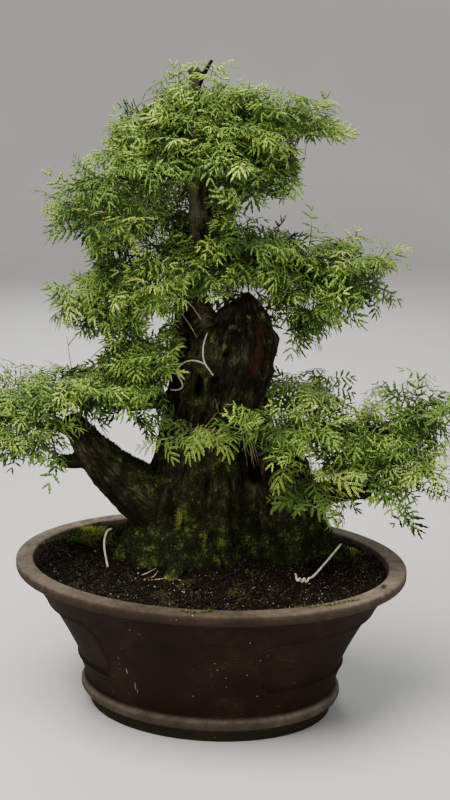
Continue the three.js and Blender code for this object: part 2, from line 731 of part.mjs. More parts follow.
// Leaves are set round the core one by one, each turned until it is clear of everything else
function makeSpray(spray, { twig, core }, neighbours) {
  const random = randomSource(LEAF_SEED + Math.round(spray.at[0] * 7 + spray.at[2] * 3));
  const body = [core, twig];
  let leaves = null;
  for (let number = 0; number < spray.leaves; number++) {
    let best = null;
    for (let tries = 0; tries < LEAF_TRIES; tries++) {
      const leaf = leafOnCore(spray, number, random, tries);
      const roomy = leaf(TOUCH_GAP);
      if (neighbours.some((other) => overlap(other, roomy))) continue;
      const crossing = leaves ? leaf(0).subtract(core).intersect(leaves).volume() : 0;
      if (!best || crossing < best.crossing) best = { crossing, leaf: leaf(0) };
      if (crossing === 0) break;
    }
    if (!best) continue;
    leaves = leaves ? leaves.add(best.leaf) : best.leaf;
    body.push(best.leaf);
  }
  return joined(body);
}

// Materials, with the colours of the real thing
const stoneware = new THREE.MeshStandardMaterial({ color: 0x4a3830, roughness: 0.75, metalness: 0 });
const earth = new THREE.MeshStandardMaterial({ color: 0x241a14, roughness: 0.95, metalness: 0 });
const bark = new THREE.MeshStandardMaterial({ color: 0x3a3022, roughness: 0.9, metalness: 0 });
const foliage = new THREE.MeshStandardMaterial({ color: 0x6f9a35, roughness: 0.6, metalness: 0 });
const paleWire = new THREE.MeshStandardMaterial({ color: 0xcfc6a8, roughness: 0.5, metalness: 0 });
const plasticMesh = new THREE.MeshStandardMaterial({ color: 0x2b2b2b, roughness: 0.6, metalness: 0 });

function addMesh(group, name, geometry, material) {
  const mesh = new THREE.Mesh(geometry, material);
  mesh.name = name;
  group.add(mesh);
  return mesh;
}

const bonsai = new THREE.Group();
const tree = new THREE.Group();
tree.rotation.z = TREE_TURN;
bonsai.add(tree);

const wood = makeWood();
const wires = {
  anchor_wire_left: [ANCHOR_LEFT, ANCHOR_WIRE_RADIUS, 9],
  anchor_wire_right: [ANCHOR_RIGHT, ANCHOR_WIRE_RADIUS, 28],
  training_wire_hook: [onBark(TRUNK_HOOK, wood, TRAINING_WIRE_RADIUS), TRAINING_WIRE_RADIUS, 7],
  training_wire_loop: [onBark(BRANCH_LOOP, wood, TRAINING_WIRE_RADIUS), TRAINING_WIRE_RADIUS, 11],
};
const anchorCut = solidOf(wire(ANCHOR_LEFT, ANCHOR_WIRE_RADIUS, 9, TOUCH_GAP));

addMesh(bonsai, "pot", geometryOf(makePot()), stoneware);
addMesh(bonsai, "soil", geometryOf(makeSoil([baseWood(TOUCH_GAP), anchorCut])), earth);
addMesh(bonsai, "drain_screen_left", geometryOf(makeScreen(-DRAIN_SPACING / 2)), plasticMesh);
addMesh(bonsai, "drain_screen_right", geometryOf(makeScreen(DRAIN_SPACING / 2)), plasticMesh);
addMesh(tree, "trunk", geometryOf(wood), bark);

const fixed = [wood];
for (const [name, [path, radius, steps]] of Object.entries(wires)) {
  const solid = solidOf(wire(path, radius, steps));
  fixed.push(solid);
  addMesh(tree, name, geometryOf(solid), paleWire);
}
const woodAndGap = makeWood(TOUCH_GAP);
const stems = SPRAYS.map((spray) => sprayStem(spray, woodAndGap));
const leafless = stems.map(({ twig, core }) => twig.add(core));
leafless.forEach((stem, i) => {
  if ([...fixed, ...leafless.slice(0, i)].some((other) => overlap(other, stem)))
    throw new Error(SPRAYS[i].name + " runs into its neighbour before it has a leaf");
});
const leafy = [];
SPRAYS.forEach((spray, i) => {
  const solid = makeSpray(spray, stems[i], [...fixed, ...leafy, ...leafless.slice(i + 1)]);
  leafy.push(solid);
  addMesh(tree, "spray_" + spray.name, geometryOf(solid), foliage);
});

// The origin is under the middle of the whole, on the surface that the pot stands on
const whole = new THREE.Box3().setFromObject(bonsai, true).getCenter(new THREE.Vector3());
bonsai.position.set(-whole.x, -whole.y, 0);

export default bonsai;
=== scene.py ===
"""A gum arabic tree bonsai in its oval stoneware pot, dressed over the CAD frame."""

import math

import bmesh
import bpy
import numpy as np
from bpy.props import FloatProperty, FloatVectorProperty, IntProperty, PointerProperty
from mathutils import Matrix, Vector, noise
from mathutils.bvhtree import BVHTree
from mathutils.kdtree import KDTree


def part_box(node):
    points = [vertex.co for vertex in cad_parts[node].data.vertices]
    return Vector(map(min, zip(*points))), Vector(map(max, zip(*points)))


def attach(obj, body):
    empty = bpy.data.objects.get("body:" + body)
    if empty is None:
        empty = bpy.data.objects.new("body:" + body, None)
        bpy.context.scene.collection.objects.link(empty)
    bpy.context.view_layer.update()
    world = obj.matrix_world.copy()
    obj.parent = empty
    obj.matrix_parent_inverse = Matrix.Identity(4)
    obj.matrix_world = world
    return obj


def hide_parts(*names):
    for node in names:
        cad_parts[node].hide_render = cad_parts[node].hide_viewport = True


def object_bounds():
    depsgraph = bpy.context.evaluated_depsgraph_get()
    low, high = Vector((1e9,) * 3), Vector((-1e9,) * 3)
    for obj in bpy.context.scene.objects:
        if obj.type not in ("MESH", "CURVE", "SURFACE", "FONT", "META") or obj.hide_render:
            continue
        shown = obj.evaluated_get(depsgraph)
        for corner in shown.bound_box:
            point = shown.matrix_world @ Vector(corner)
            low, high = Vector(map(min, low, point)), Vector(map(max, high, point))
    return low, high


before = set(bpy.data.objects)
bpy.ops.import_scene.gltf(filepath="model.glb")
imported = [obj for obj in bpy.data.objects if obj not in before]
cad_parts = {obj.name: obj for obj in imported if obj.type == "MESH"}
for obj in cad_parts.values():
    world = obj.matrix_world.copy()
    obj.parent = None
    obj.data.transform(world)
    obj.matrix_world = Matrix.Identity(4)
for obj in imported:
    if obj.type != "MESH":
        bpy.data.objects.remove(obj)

bl_info = {
    "name": "Potted Bonsai",
    "version": (1, 0, 0),
    "blender": (4, 5, 0),
    "location": "View3D > Sidebar > Bonsai",
    "description": "Models a bonsai with feathery leaves in an oval pot, piece by piece",
    "category": "Object",
}

CAD_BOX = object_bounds()
MM = 0.001
POT_LOW, POT_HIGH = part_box("pot")
POT_SIZE = POT_HIGH - POT_LOW
POT_MIDDLE = Vector(((POT_LOW.x + POT_HIGH.x) / 2, (POT_LOW.y + POT_HIGH.y) / 2, 0))
TREE_TURN = math.radians(15)
TREE_FRAME = Matrix.Translation(POT_MIDDLE) @ Matrix.Rotation(TREE_TURN, 4, "Z")
SPRAYS = sorted(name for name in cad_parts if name.startswith("spray_"))
WIRES = ("anchor_wire_left", "anchor_wire_right", "training_wire_hook", "training_wire_loop")
SCREENS = ("drain_screen_left", "drain_screen_right")
# The two sprays nearest the eye, and how many shoots each has
FRONT_SPRAYS = {"spray_front_twig": 8, "spray_low_front_right": 20}
# Half the pot's length at a height above the bead, in millimetres: at its foot, with its flare up to the lip
WALL_FOOT, WALL_FLARE, WALL_CURVE = 147, 65, 1.25
WALL_START, WALL_RISE = 36, 126
# The end panels and their notched corners: degrees from the pot's long axis, and millimetres from and to
PANEL_REACH, PANEL_LOW, PANEL_HIGH = 59.1, 58, 128
NOTCH_REACH, NOTCH_LOW, NOTCH_HIGH = 56.3, 66, 120
DRAIN_REACH, DRAIN_RADIUS = 0.06, 0.014
SOIL_TOP = 0.1675
SOIL_INSET = 0.0234
CRUMB_CLEARANCE = 0.0014
FURROW_DEPTH = 0.0022
BOUGH_RADII = (0.0016, 0.0009)
SHOOT_RADII = (0.0007, 0.0003)
BOX_MARGIN = 0.0004
EVENING_PASSES = 34
SHELL_SAMPLES = 360
# Sprays nearer than this to each other share the gap between them
NEIGHBOURS = 0.105
SHORTEST_SHOOT = 0.008
LEAF_CLEARANCE = 0.004
# The camera in the tree's frame, as fitted to the photograph's pot: 13.5 degrees down, 1400 pixels over 800
CAMERA_PLACE = (0, -1.5109, 0.7207)
CAMERA_TILT, CAMERA_TURN = math.radians(90 - 13.5), math.radians(-0.7)
SENSOR = 36
LENS = 1400 / 800 * SENSOR
SKY_STRENGTH = 0.48

# The wood's own lines in millimetres, in the tree's frame: x, y, z and radius along each. First come the main
# trunk, the stub, the leader, the right stem and what grows beside it, then limb, roots and branches.
WOOD_LINES = (
    ((-28, 26, 130, 62), (-27, 26, 188, 60), (-22, 25, 234, 54), (-12, 23, 294, 47), (-4, 22, 340, 46),
     (9, 22, 382, 48), (18, 21, 424, 46)),
    ((24, 22, 330, 22), (38, 22, 362, 26), (48, 21, 412, 30), (44, 18, 448, 24), (43, 15, 475, 6)),
    ((-6, 24, 415, 32), (-14, 22, 440, 27), (-17, 20, 461, 21), (-15, 18, 480, 15), (-11, 15, 502, 10.5),
     (-12, 11, 530, 9.5), (-10, 8, 560, 11), (-10, 8, 615, 9), (-13, 3, 680, 6), (-14, 0, 716, 6.6)),
    ((95, 28, 130, 48), (94, 28, 204, 44), (91, 25, 240, 38), (86, 21, 274, 30), (86, 14, 302, 22),
     (98, 6, 320, 16), (135, -5, 322, 11.5), (172, -15, 322, 9), (196, -20, 324, 7)),
    ((58, 44, 140, 32), (60, 44, 200, 30), (56, 42, 280, 26), (50, 40, 352, 22)),
    ((104, 20, 228, 24), (137, 2, 250, 15), (162, -16, 256, 10), (178, -28, 258, 7.5)),
    ((-38, 24, 210, 40), (-67, 18, 236, 36), (-90, 10, 258, 30), (-112, 1, 280, 25), (-131, -8, 305, 20),
     (-144, -14, 328, 15), (-151, -16, 342, 11)),
    ((-128, -6, 296, 12), (-150, -8, 290, 9), (-166, -9, 291, 8)),
    ((-70, 36, 178, 20), (-118, 50, 174, 18), (-162, 66, 171, 15)),
    ((118, 14, 178, 22), (146, 6, 170, 17), (170, 2, 166, 13)),
    ((-28, -16, 186, 15), (-36, -44, 172, 11), (-42, -66, 163, 8)),
    ((-52, 66, 180, 17), (-76, 90, 171, 13), (-96, 108, 163, 9)),
    ((60, 62, 180, 18), (78, 84, 171, 14), (96, 102, 163, 9)),
    ((-8, 8, 628, 6.5), (18, 4, 636, 5.6), (48, 2, 620, 5), (72, 6, 604, 4.2), (96, 8, 606, 3.6)),
    ((44, 2, 622, 4.6), (66, -4, 640, 3.8), (84, -4, 646, 3.2)),
    ((-14, 8, 606, 6.5), (-40, 4, 610, 5.6), (-66, -4, 606, 4.8), (-100, -6, 600, 4), (-124, -6, 592, 3.2)),
    ((-8, 12, 512, 8), (16, 2, 516, 6.8), (44, -8, 514, 5.8), (78, -12, 505, 4.8), (112, -10, 500, 4)),
    ((-14, 18, 486, 8), (-42, 10, 482, 6.4), (-70, 8, 476, 5.4), (-98, 10, 470, 4.4)),
    ((-10, 12, 548, 7), (-2, 34, 556, 5.6), (2, 52, 566, 4.4)),
    ((-30, 12, 352, 14), (-62, -2, 358, 10), (-88, -8, 352, 6.5)),
    ((-142, -14, 326, 13), (-166, -20, 336, 8), (-184, -22, 334, 5.5)),
    ((0, 54, 352, 12), (4, 76, 358, 8), (6, 92, 352, 5.5)),
    ((92, 4, 304, 13), (92, -20, 312, 7.5), (80, -42, 322, 5)),
    ((-12, 2, 694, 4), (-4, 0, 710, 3), (5, -2, 725, 2.2)),
)
MAIN_LINE, LEADER_LINE = 0, 2
RIGHT_STEM_LINES, LIMB_LINES, ROOT_LINES = (3, 5), (6, 7), (8, 9, 10, 11, 12)
BRANCH_WITH_WIRE = 19

# What swells the CAD wood a little: shoulders and root flares as lines, and knobs, as x, y, z and radius
SHOULDERS = (
    ((0, 14, 430, 9), (14, 13, 443, 12), (28, 12, 454, 12), (42, 12, 465, 9)),
    ((-24, 4, 420, 9), (-27, 6, 442, 8), (-31, 8, 462, 7), (-32, 10, 484, 5)),
    ((-44, 2, 205, 12), (-52, -20, 186, 9), (-58, -34, 172, 6)),
    ((14, -4, 215, 12), (20, -22, 188, 9), (24, -32, 170, 6)),
)
KNOBS = (
    (26, -3, 440, 6), (18, -12, 421, 5), (9, -12, 430, 5.5), (35, -8, 432, 7), (4, -13, 414, 5),
    (9, -16, 396, 7), (-21, -10, 402, 7), (50, -6, 384, 7), (-31, -16, 330, 6), (6, -21, 345, 6),
    (-14, -20, 300, 7), (24, -16, 280, 6), (-40, -14, 262, 7), (-78, 8, 250, 8), (-104, 12, 290, 7),
    (-120, -12, 300, 6), (78, 2, 270, 7), (92, 0, 240, 8), (66, 4, 232, 6), (-12, 8, 560, 11),
    (-17, 6, 598, 9),
)
# Hollows, sunk into the wood and painted dark inside as painted shade, and fresh moss on the wood, as x, y,
# z, radius and height over width
HOLLOWS = (
    (-11, -17, 377, 7, 2.3), (8, -20, 384, 6, 0.9), (18, -14, 412, 4.5, 0.8), (26, -6, 428, 4.5, 0.8),
    (43, 19, 312, 11, 2.2), (48, 18, 288, 12, 2.0), (52, 16, 265, 11, 1.5), (-25, -4, 424, 4.5, 3.0),
    (-24, 0, 446, 5, 2.4), (66, 10, 252, 7, 2.0), (40, -4, 214, 5, 3.0),
)
FRESH_MOSS = (
    (-43, -58, 166, 13, 0.9), (-71, -36, 166, 10, 1), (-139, 52, 190, 32, 0.5), (168, 4, 184, 14, 0.8),
    (-58, -8, 204, 9, 2.2), (16, -22, 196, 8, 1.6), (-14, 0, 718, 11, 1.2), (34, -8, 438, 6, 1),
    (30, -20, 262, 11, 4.5), (-66, -6, 240, 12, 2.0), (62, 5, 452, 9, 1.7), (27, -9, 420, 9, 0.7),
    (6, -14, 430, 5, 2.2), (44, -4, 450, 6, 1.2), (-30, -22, 228, 10, 2.4), (-56, -4, 262, 9, 1.6),
    (34, -14, 226, 9, 2.2), (-8, -24, 205, 10, 1.4), (-74, 2, 205, 16, 1.0),
)
# Old cuts and worn edges, paler, and where the bark has peeled, likewise
SCARS = ((18, -15, 421, 6, 0.9), (27, -6, 441, 8, 0.7), (45, 0, 466, 7, 1.6), (-4, -22, 396, 5, 1))
PEELED = ((52, -8, 402, 13, 1.5),)
HALF_PEELED = ((55, -6, 430, 11, 2.4),)
# Where a few more shoots end, in the tree's frame
REACHES = {
    "spray_apex_left": ((-24, -4, 706), (-32, -15, 700), (-60, -4, 696), (-66, 0, 690)),
    "spray_apex_right": ((-3, 0, 720), (6, -8, 718), (2, -10, 706)),
    "spray_top_right": ((88, -22, 692),),
    "spray_top_far_right": ((104, 8, 620), (98, -4, 612)),
    "spray_top_hanging": ((101, -20, 599),),
    "spray_right_shoulder": ((60, 40, 546),),
    "spray_mid_outer_right": ((194, -4, 529), (187, -4, 487), (196, 0, 479), (155, -4, 459), (180, 0, 468)),
    "spray_mid_low_right": (
        (66, 22, 469), (78, 24, 457), (86, 24, 444), (93, 22, 430), (71, 26, 449), (106, 4, 425),
        (118, 4, 419),
    ),
    "spray_mid_back": ((20, 50, 460), (70, 60, 439), (60, 56, 452)),
    "spray_mid_inner_left": ((-39, -30, 448), (-37, -30, 428), (-42, -28, 416)),
    "spray_mid_outer_left": ((-157, 8, 436),),
    "spray_mid_low_left": ((-121, 4, 423), (-108, 4, 414)),
    "spray_low_outer_left": ((-212, -6, 403), (-190, -6, 396), (-200, 0, 400)),
    "spray_low_trunk_left": ((-42, -42, 356), (-50, -46, 352)),
    "spray_front_twig": ((7, -60, 375), (12, -62, 362)),
    "spray_low_back_right": ((57, 46, 370), (64, 50, 376), (66, 44, 359), (61, 40, 353)),
    "spray_low_inner_left": ((-88, -30, 347), (-69, -26, 342), (-59, -20, 331)),
    "spray_low_hanging_left": ((-161, -40, 332), (-167, -40, 314), (-158, -36, 306)),
    "spray_low_front_right": ((62, -60, 280), (68, -66, 291), (67, -60, 258), (77, -62, 250)),
    "spray_low_under_right": ((143, 0, 232), (155, 10, 234)),
    "spray_low_hanging_right": ((216, -46, 250), (219, -46, 238)),
    "spray_low_outer_right": ((189, -8, 375), (205, -8, 368)),
}
# Pale roots and dead fibres, in the tree's frame: points along each, and its half thickness
FIBRES = (
    ((36, -4, 331), (40, 0, 312), (46, 6, 292), 0.75),
    ((38, -3, 334), (43, 1, 315), (51, 7, 289), 0.55),
    ((41, -2, 334), (45, 2, 318), (54, 8, 284), 0.75),
    ((40, -1, 329), (46, 4, 306), (49, 8, 282), 0.55),
    ((44, 0, 331), (50, 3, 309), (57, 8, 283), 0.7),
    ((37, 0, 326), (41, 4, 300), (44, 8, 279), 0.5),
    ((43, 1, 333), (46, 5, 310), (58, 9, 292), 0.5),
    ((39, 2, 322), (47, 6, 301), (52, 9, 276), 0.6),
)
BARE_TWIGS = (
    ((-30, -16, 478), (-17, -24, 467), (-7, -27, 453), 0.8),
    ((-31, -18, 462), (-20, -27, 448), (-12, -29, 434), 0.7),
    ((-88, -50, 168), (-66, -60, 169), (-46, -62, 172), 0.9),
    ((-79, -45, 168), (-70, -48, 172), (-58, -44, 177), 0.8),
    ((-72, -56, 168), (-62, -56, 171), (-56, -50, 176), 0.7),
    ((-20, -64, 168), (-34, -62, 170), (-42, -58, 174), 0.8),
)
# Turns of wire round a branch: its line of wood, how far along it they start and end, and how many
WIRE_TURNS = ((BRANCH_WITH_WIRE, 0.45, 0.95, 2.5),)
# Moss on the lip, in the tree's frame: from x, y to x, y
LIP_MOSS = (((-28, -158.5), (4, -159)), ((90, -149.5), (156, -130)), ((-198, 47), (-134, 131)))
LIP_TOP, LIP_BOW, LIP_TUFTS = 172.4, 5, 260
# Tones of a moss shoot: its three low corners, darker as painted shade at the foot, and its tip
SHOOT_TONES = (-0.15, -0.15, -0.15, 0.1)
# Scratches, a red stain and a chip on the pot, in its own frame: x, y, z, half width, half height and colour
POT_MARKS = (
    (-62, -117, 77, 0.7, 5.5, "#8f8474"),
    (-54, -113, 58, 0.7, 7.5, "#8f8474"),
    (-52, -112, 52, 0.5, 4, "#a59a88"),
    (-37, -150, 136, 3.2, 1.5, "#6b2418"),
    (-34, -148, 131, 5.0, 0.7, "#4a2016"),
    (-112, -134, 168, 0.8, 4.5, "#d8d2c4"),
    (206, -40, 172, 4.0, 3.0, "#1b1611"),
)
# How far a mark reaches into the wall, in millimetres
MARK_REACH = 8
# Wear of the clay up the pot: share of its height, and how strong
WEAR_UP_THE_POT = (
    (0.0, 0.1), (0.08, 0.12), (0.1, 1), (0.155, 1), (0.175, 0), (0.9, 0.02), (0.94, 0.55), (0.985, 0.95),
)
# The shade of crumbs with moss on them, on the soil's scale from 0 to 1
MOSSY_SHADE = 0.91
# The air between the tiers and before the trunk, in the tree's frame: x, z and y from and to
OPENINGS = (
    (-220, -128, 498, 545, -200, 200),
    (-220, -118, 395, 436, -200, 200),
    (34, 110, 545, 582, -200, 60),
    (98, 160, 575, 645, -200, 60),
    (-110, -60, 680, 740, -200, 60),
    (-2, 80, 376, 480, -200, 8),
    (-46, 2, 360, 402, -200, 8),
    (-28, 0, 402, 456, -200, 12),
    (-62, 28, 180, 326, -200, -5),
    (24, 56, 215, 322, -200, 10),
    (-150, -70, 200, 306, -200, 20),
    (-240, -172, 240, 306, -200, 200),
    (84, 116, 215, 246, -200, 0),
    (-26, 4, 545, 600, -200, 0),
    (-16, 4, 452, 487, -200, 12),
    (26, 62, 478, 494, -200, 14),
    (138, 180, 655, 700, -200, 200),
    (-140, -112, 634, 680, -200, 200),
    (-180, -148, 612, 650, -200, 200),
    (-220, -182, 530, 590, -200, 200),
    (-210, -176, 476, 496, -200, 200),
    (-210, -172, 436, 468, -200, 200),
    (138, 170, 405, 440, -200, 200),
    (212, 260, 495, 530, -200, 200),
    (88, 156, 374, 414, -200, 200),
    (232, 270, 380, 400, -200, 200),
    (-71, -46, 436, 459, -200, 200),
    (24, 62, 215, 318, -200, 12),
)


def in_tree(x, y, z):
    """A point of the tree, given in millimetres in the tree's own frame."""
    return TREE_FRAME @ (Vector((x, y, z)) * MM)


def tree_millimetres(points):
    """Points as millimetres in the tree's own frame."""
    to_tree = np.array(TREE_FRAME.inverted())
    return (np.atleast_2d(points) @ to_tree[:3, :3].T + to_tree[:3, 3]) / MM


def linear(hex_colour):
    """An sRGB hex colour as linear red, green, blue and alpha."""
    channels = [int(hex_colour[i : i + 2], 16) / 255 for i in (1, 3, 5)]
    return tuple(c / 12.92 if c <= 0.04045 else ((c + 0.055) / 1.055) ** 2.4 for c in channels) + (1.0,)


def colour_setting(name, description, hex_colour):
    """A colour that the sidebar shows."""
    return FloatVectorProperty(
        name=name, description=description, subtype="COLOR", size=4, min=0, max=1, default=linear(hex_colour)
    )


def node(tree, kind, inputs=None, output=0, stops=(), **settings):
    """Adds a shader node with its settings, and gives one of its outputs.

    An input takes a value, or the output that feeds it. The colours of a Mix node are its inputs 6 and 7 and
    its output 2.
    """
    made = tree.nodes.new("ShaderNode" + kind)
    for name, value in settings.items():
        setattr(made, name, value)
    for name, value in (inputs or {}).items():
        if isinstance(value, bpy.types.NodeSocket):
            tree.links.new(value, made.inputs[name])
        else:
            made.inputs[name].default_value = value
    for number, (place, colour) in enumerate(stops):
        elements = made.color_ramp.elements
        stop = elements[number] if number < 2 else elements.new(place)
        stop.position, stop.color = place, colour
    return made.outputs[output] if made.outputs else made


def material(name, surface, *settings):
    """A material of one Principled shader, whose inputs the surface function works out from its settings."""
    made = bpy.data.materials.new(name)
    made.use_nodes = True
    tree = made.node_tree
    tree.nodes.clear()
    shader = node(tree, "BsdfPrincipled", surface(tree, *settings))
    node(tree, "OutputMaterial", {"Surface": shader})
    return made


def smooth_step(low, high, value):
    """0 below low, 1 above high and a smooth rise between."""
    share = np.clip((np.asarray(value, float) - low) / (high - low), 0, 1)
    return share * share * (3 - 2 * share)


def deselect():
    """Leaves edit mode and deselects everything, so that the next operator acts on its own piece alone."""
    if bpy.context.object and bpy.context.object.mode != "OBJECT":
        bpy.ops.object.mode_set(mode="OBJECT")
    bpy.ops.object.select_all(action="DESELECT")


def take(piece):
    """Makes one piece the only selected one, and the active one."""
    deselect()
    piece.select_set(True)
    bpy.context.view_layer.objects.active = piece


def pick(piece, test):
    """In edit mode, selects only the faces that pass the test."""
    bpy.ops.mesh.select_mode(type="FACE")
    bpy.ops.mesh.select_all(action="DESELECT")
    shape = bmesh.from_edit_mesh(piece.data)
    for face in shape.faces:
        if test(face.calc_center_median(), face.normal):
            face.select_set(True)
    bmesh.update_edit_mesh(piece.data)


def apply_modifier(piece, kind, **settings):
    """Adds a modifier with its settings and applies it."""
    take(piece)
    modifier = piece.modifiers.new(kind.title(), kind)
    for name, value in settings.items():
        setattr(modifier, name, value)
    bpy.ops.object.modifier_apply(modifier=modifier.name)


def coordinates(piece):
    """A piece's points as an array."""
    points = np.empty(len(piece.data.vertices) * 3)
    piece.data.vertices.foreach_get("co", points)
    return points.reshape(-1, 3)


def point_normals(piece):
    """The normals at a piece's points as an array."""
    normals = np.empty(len(piece.data.vertices) * 3, np.float32)
    piece.data.vertex_normals.foreach_get("vector", normals)
    return normals.reshape(-1, 3)


def set_coordinates(piece, points):
    """Moves a piece's points."""
    piece.data.vertices.foreach_set("co", np.asarray(points, np.float32).ravel())
    piece.data.update()


def set_numbers(piece, name, values):
    """Keeps one number a point on a piece, for its material to read."""
    attribute = piece.data.attributes.new(name, "FLOAT", "POINT")
    attribute.data.foreach_set("value", np.asarray(values, np.float32))


def piece_from(name, points, faces, materials, slots=None):
    """A piece made from arrays of points and triangles."""
    mesh = bpy.data.meshes.new(name)
    faces = np.asarray(faces, np.int32)
    mesh.vertices.add(len(points))
    mesh.vertices.foreach_set("co", np.asarray(points, np.float32).ravel())
    mesh.loops.add(faces.size)
    mesh.loops.foreach_set("vertex_index", faces.ravel())
    mesh.polygons.add(len(faces))
    mesh.polygons.foreach_set("loop_start", np.arange(0, faces.size, 3, dtype=np.int32))
    for finish in materials:
        mesh.materials.append(finish)
    if slots is not None:
        mesh.polygons.foreach_set("material_index", np.asarray(slots, np.int32))
    mesh.update(calc_edges=True)
    piece = bpy.data.objects.new(name, mesh)
    bpy.context.collection.objects.link(piece)
    return piece


def hand_in(piece, slot, *nodes):
    """The piece rides on the frame's one body and stands for its CAD nodes, which it hides; the slot is not
    used.
    """
    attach(piece, "root")
    if nodes:
        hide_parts(*nodes)


def wheel_form(name, rings, columns):
    """An oval form drawn up ring by ring, as on a wheel: a flat oval, extruded and resized at each step."""
    deselect()
    length, width, height = rings[0]
    bpy.ops.mesh.primitive_circle_add(
        vertices=columns, radius=1, fill_type="NGON", location=(POT_MIDDLE.x, POT_MIDDLE.y, height)
    )
    piece = bpy.context.object
    piece.name = name
    bpy.ops.object.mode_set(mode="EDIT")
    bpy.ops.transform.resize(value=(length, width, 1))
    for (length, width, height), (next_length, next_width, next_height) in zip(rings, rings[1:]):
        rise = (0, 0, next_height - height)
        bpy.ops.mesh.extrude_region_move(TRANSFORM_OT_translate={"value": rise})
        bpy.ops.transform.resize(value=(next_length / length, next_width / width, 1))
    bpy.ops.mesh.select_all(action="SELECT")
    bpy.ops.mesh.normals_make_consistent(inside=False)
    bpy.ops.object.mode_set(mode="OBJECT")
    bpy.ops.object.transform_apply(location=True, rotation=True, scale=True)
    return piece


def cad_copy(name, node_name):
    """A copy of a CAD node, its loose triangles joined, to be modelled further."""
    piece = bpy.data.objects.new(name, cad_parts[node_name].data.copy())
    bpy.context.collection.objects.link(piece)
    piece.data.materials.clear()
    take(piece)
    bpy.ops.object.mode_set(mode="EDIT")
    bpy.ops.mesh.select_all(action="SELECT")
    bpy.ops.mesh.remove_doubles(threshold=0.00001)
    bpy.ops.object.mode_set(mode="OBJECT")
    return piece


def surface_of(*names):
    """The surface of some CAD nodes, to measure from."""
    points, faces = [], []
    for name in names:
        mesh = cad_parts[name].data
        faces += [[len(points) + i for i in polygon.vertices] for polygon in mesh.polygons]
        points += [vertex.co.copy() for vertex in mesh.vertices]
    return BVHTree.FromPolygons(points, faces)


def curve_through(points, steps):
    """A smooth line through some points, with so many steps between each two."""
    points = np.asarray(points, float)
    padded = np.vstack([2 * points[0] - points[1], points, 2 * points[-1] - points[-2]])
    line = []
    for a, b, c, d in zip(padded, padded[1:], padded[2:], padded[3:]):
        square, cube = 2 * a - 5 * b + 4 * c - d, 3 * b - a - 3 * c + d
        for t in np.arange(steps) / steps:
            line.append(0.5 * (2 * b + (c - a) * t + square * t**2 + cube * t**3))
    return np.array(line + [points[-1]])


def tube(line, radii, sides):
    """Points and triangles of a closed round tube along a line."""
    line = np.asarray(line, float)
    radii = np.broadcast_to(radii, len(line))
    along = np.gradient(line, axis=0)
    along /= np.linalg.norm(along, axis=1, keepdims=True) + 1e-12
    side = np.cross(along[0], (0.31, 0.17, 0.93) if abs(along[0][2]) < 0.9 else (1, 0.1, 0))
    rings = []
    for centre, direction, radius in zip(line, along, radii):
        side = side - direction * side.dot(direction)
        side /= np.linalg.norm(side)
        other = np.cross(direction, side)
        turn = np.arange(sides) * 2 * math.pi / sides
        rings.append(centre + radius * (np.cos(turn)[:, None] * side + np.sin(turn)[:, None] * other))
    points = np.vstack([*rings, line[0], line[-1]])
    start, end = len(points) - 2, len(points) - 1
    faces = []
    for ring in range(len(line) - 1):
        for column in range(sides):
            a, b = ring * sides + column, ring * sides + (column + 1) % sides
            faces += [(a, b, b + sides), (a, b + sides, a + sides)]
    last = (len(line) - 1) * sides
    for column in range(sides):
        following = (column + 1) % sides
        faces += [(start, following, column), (end, last + column, last + following)]
    return points, np.array(faces)


def put_together(shapes):
    """Several shapes' points and triangles as one."""
    points, faces, start = [], [], 0
    for shape_points, shape_faces in shapes:
        points.append(shape_points)
        faces.append(np.asarray(shape_faces) + start)
        start += len(shape_points)
    return np.vstack(points), np.vstack(faces)


# Finishes


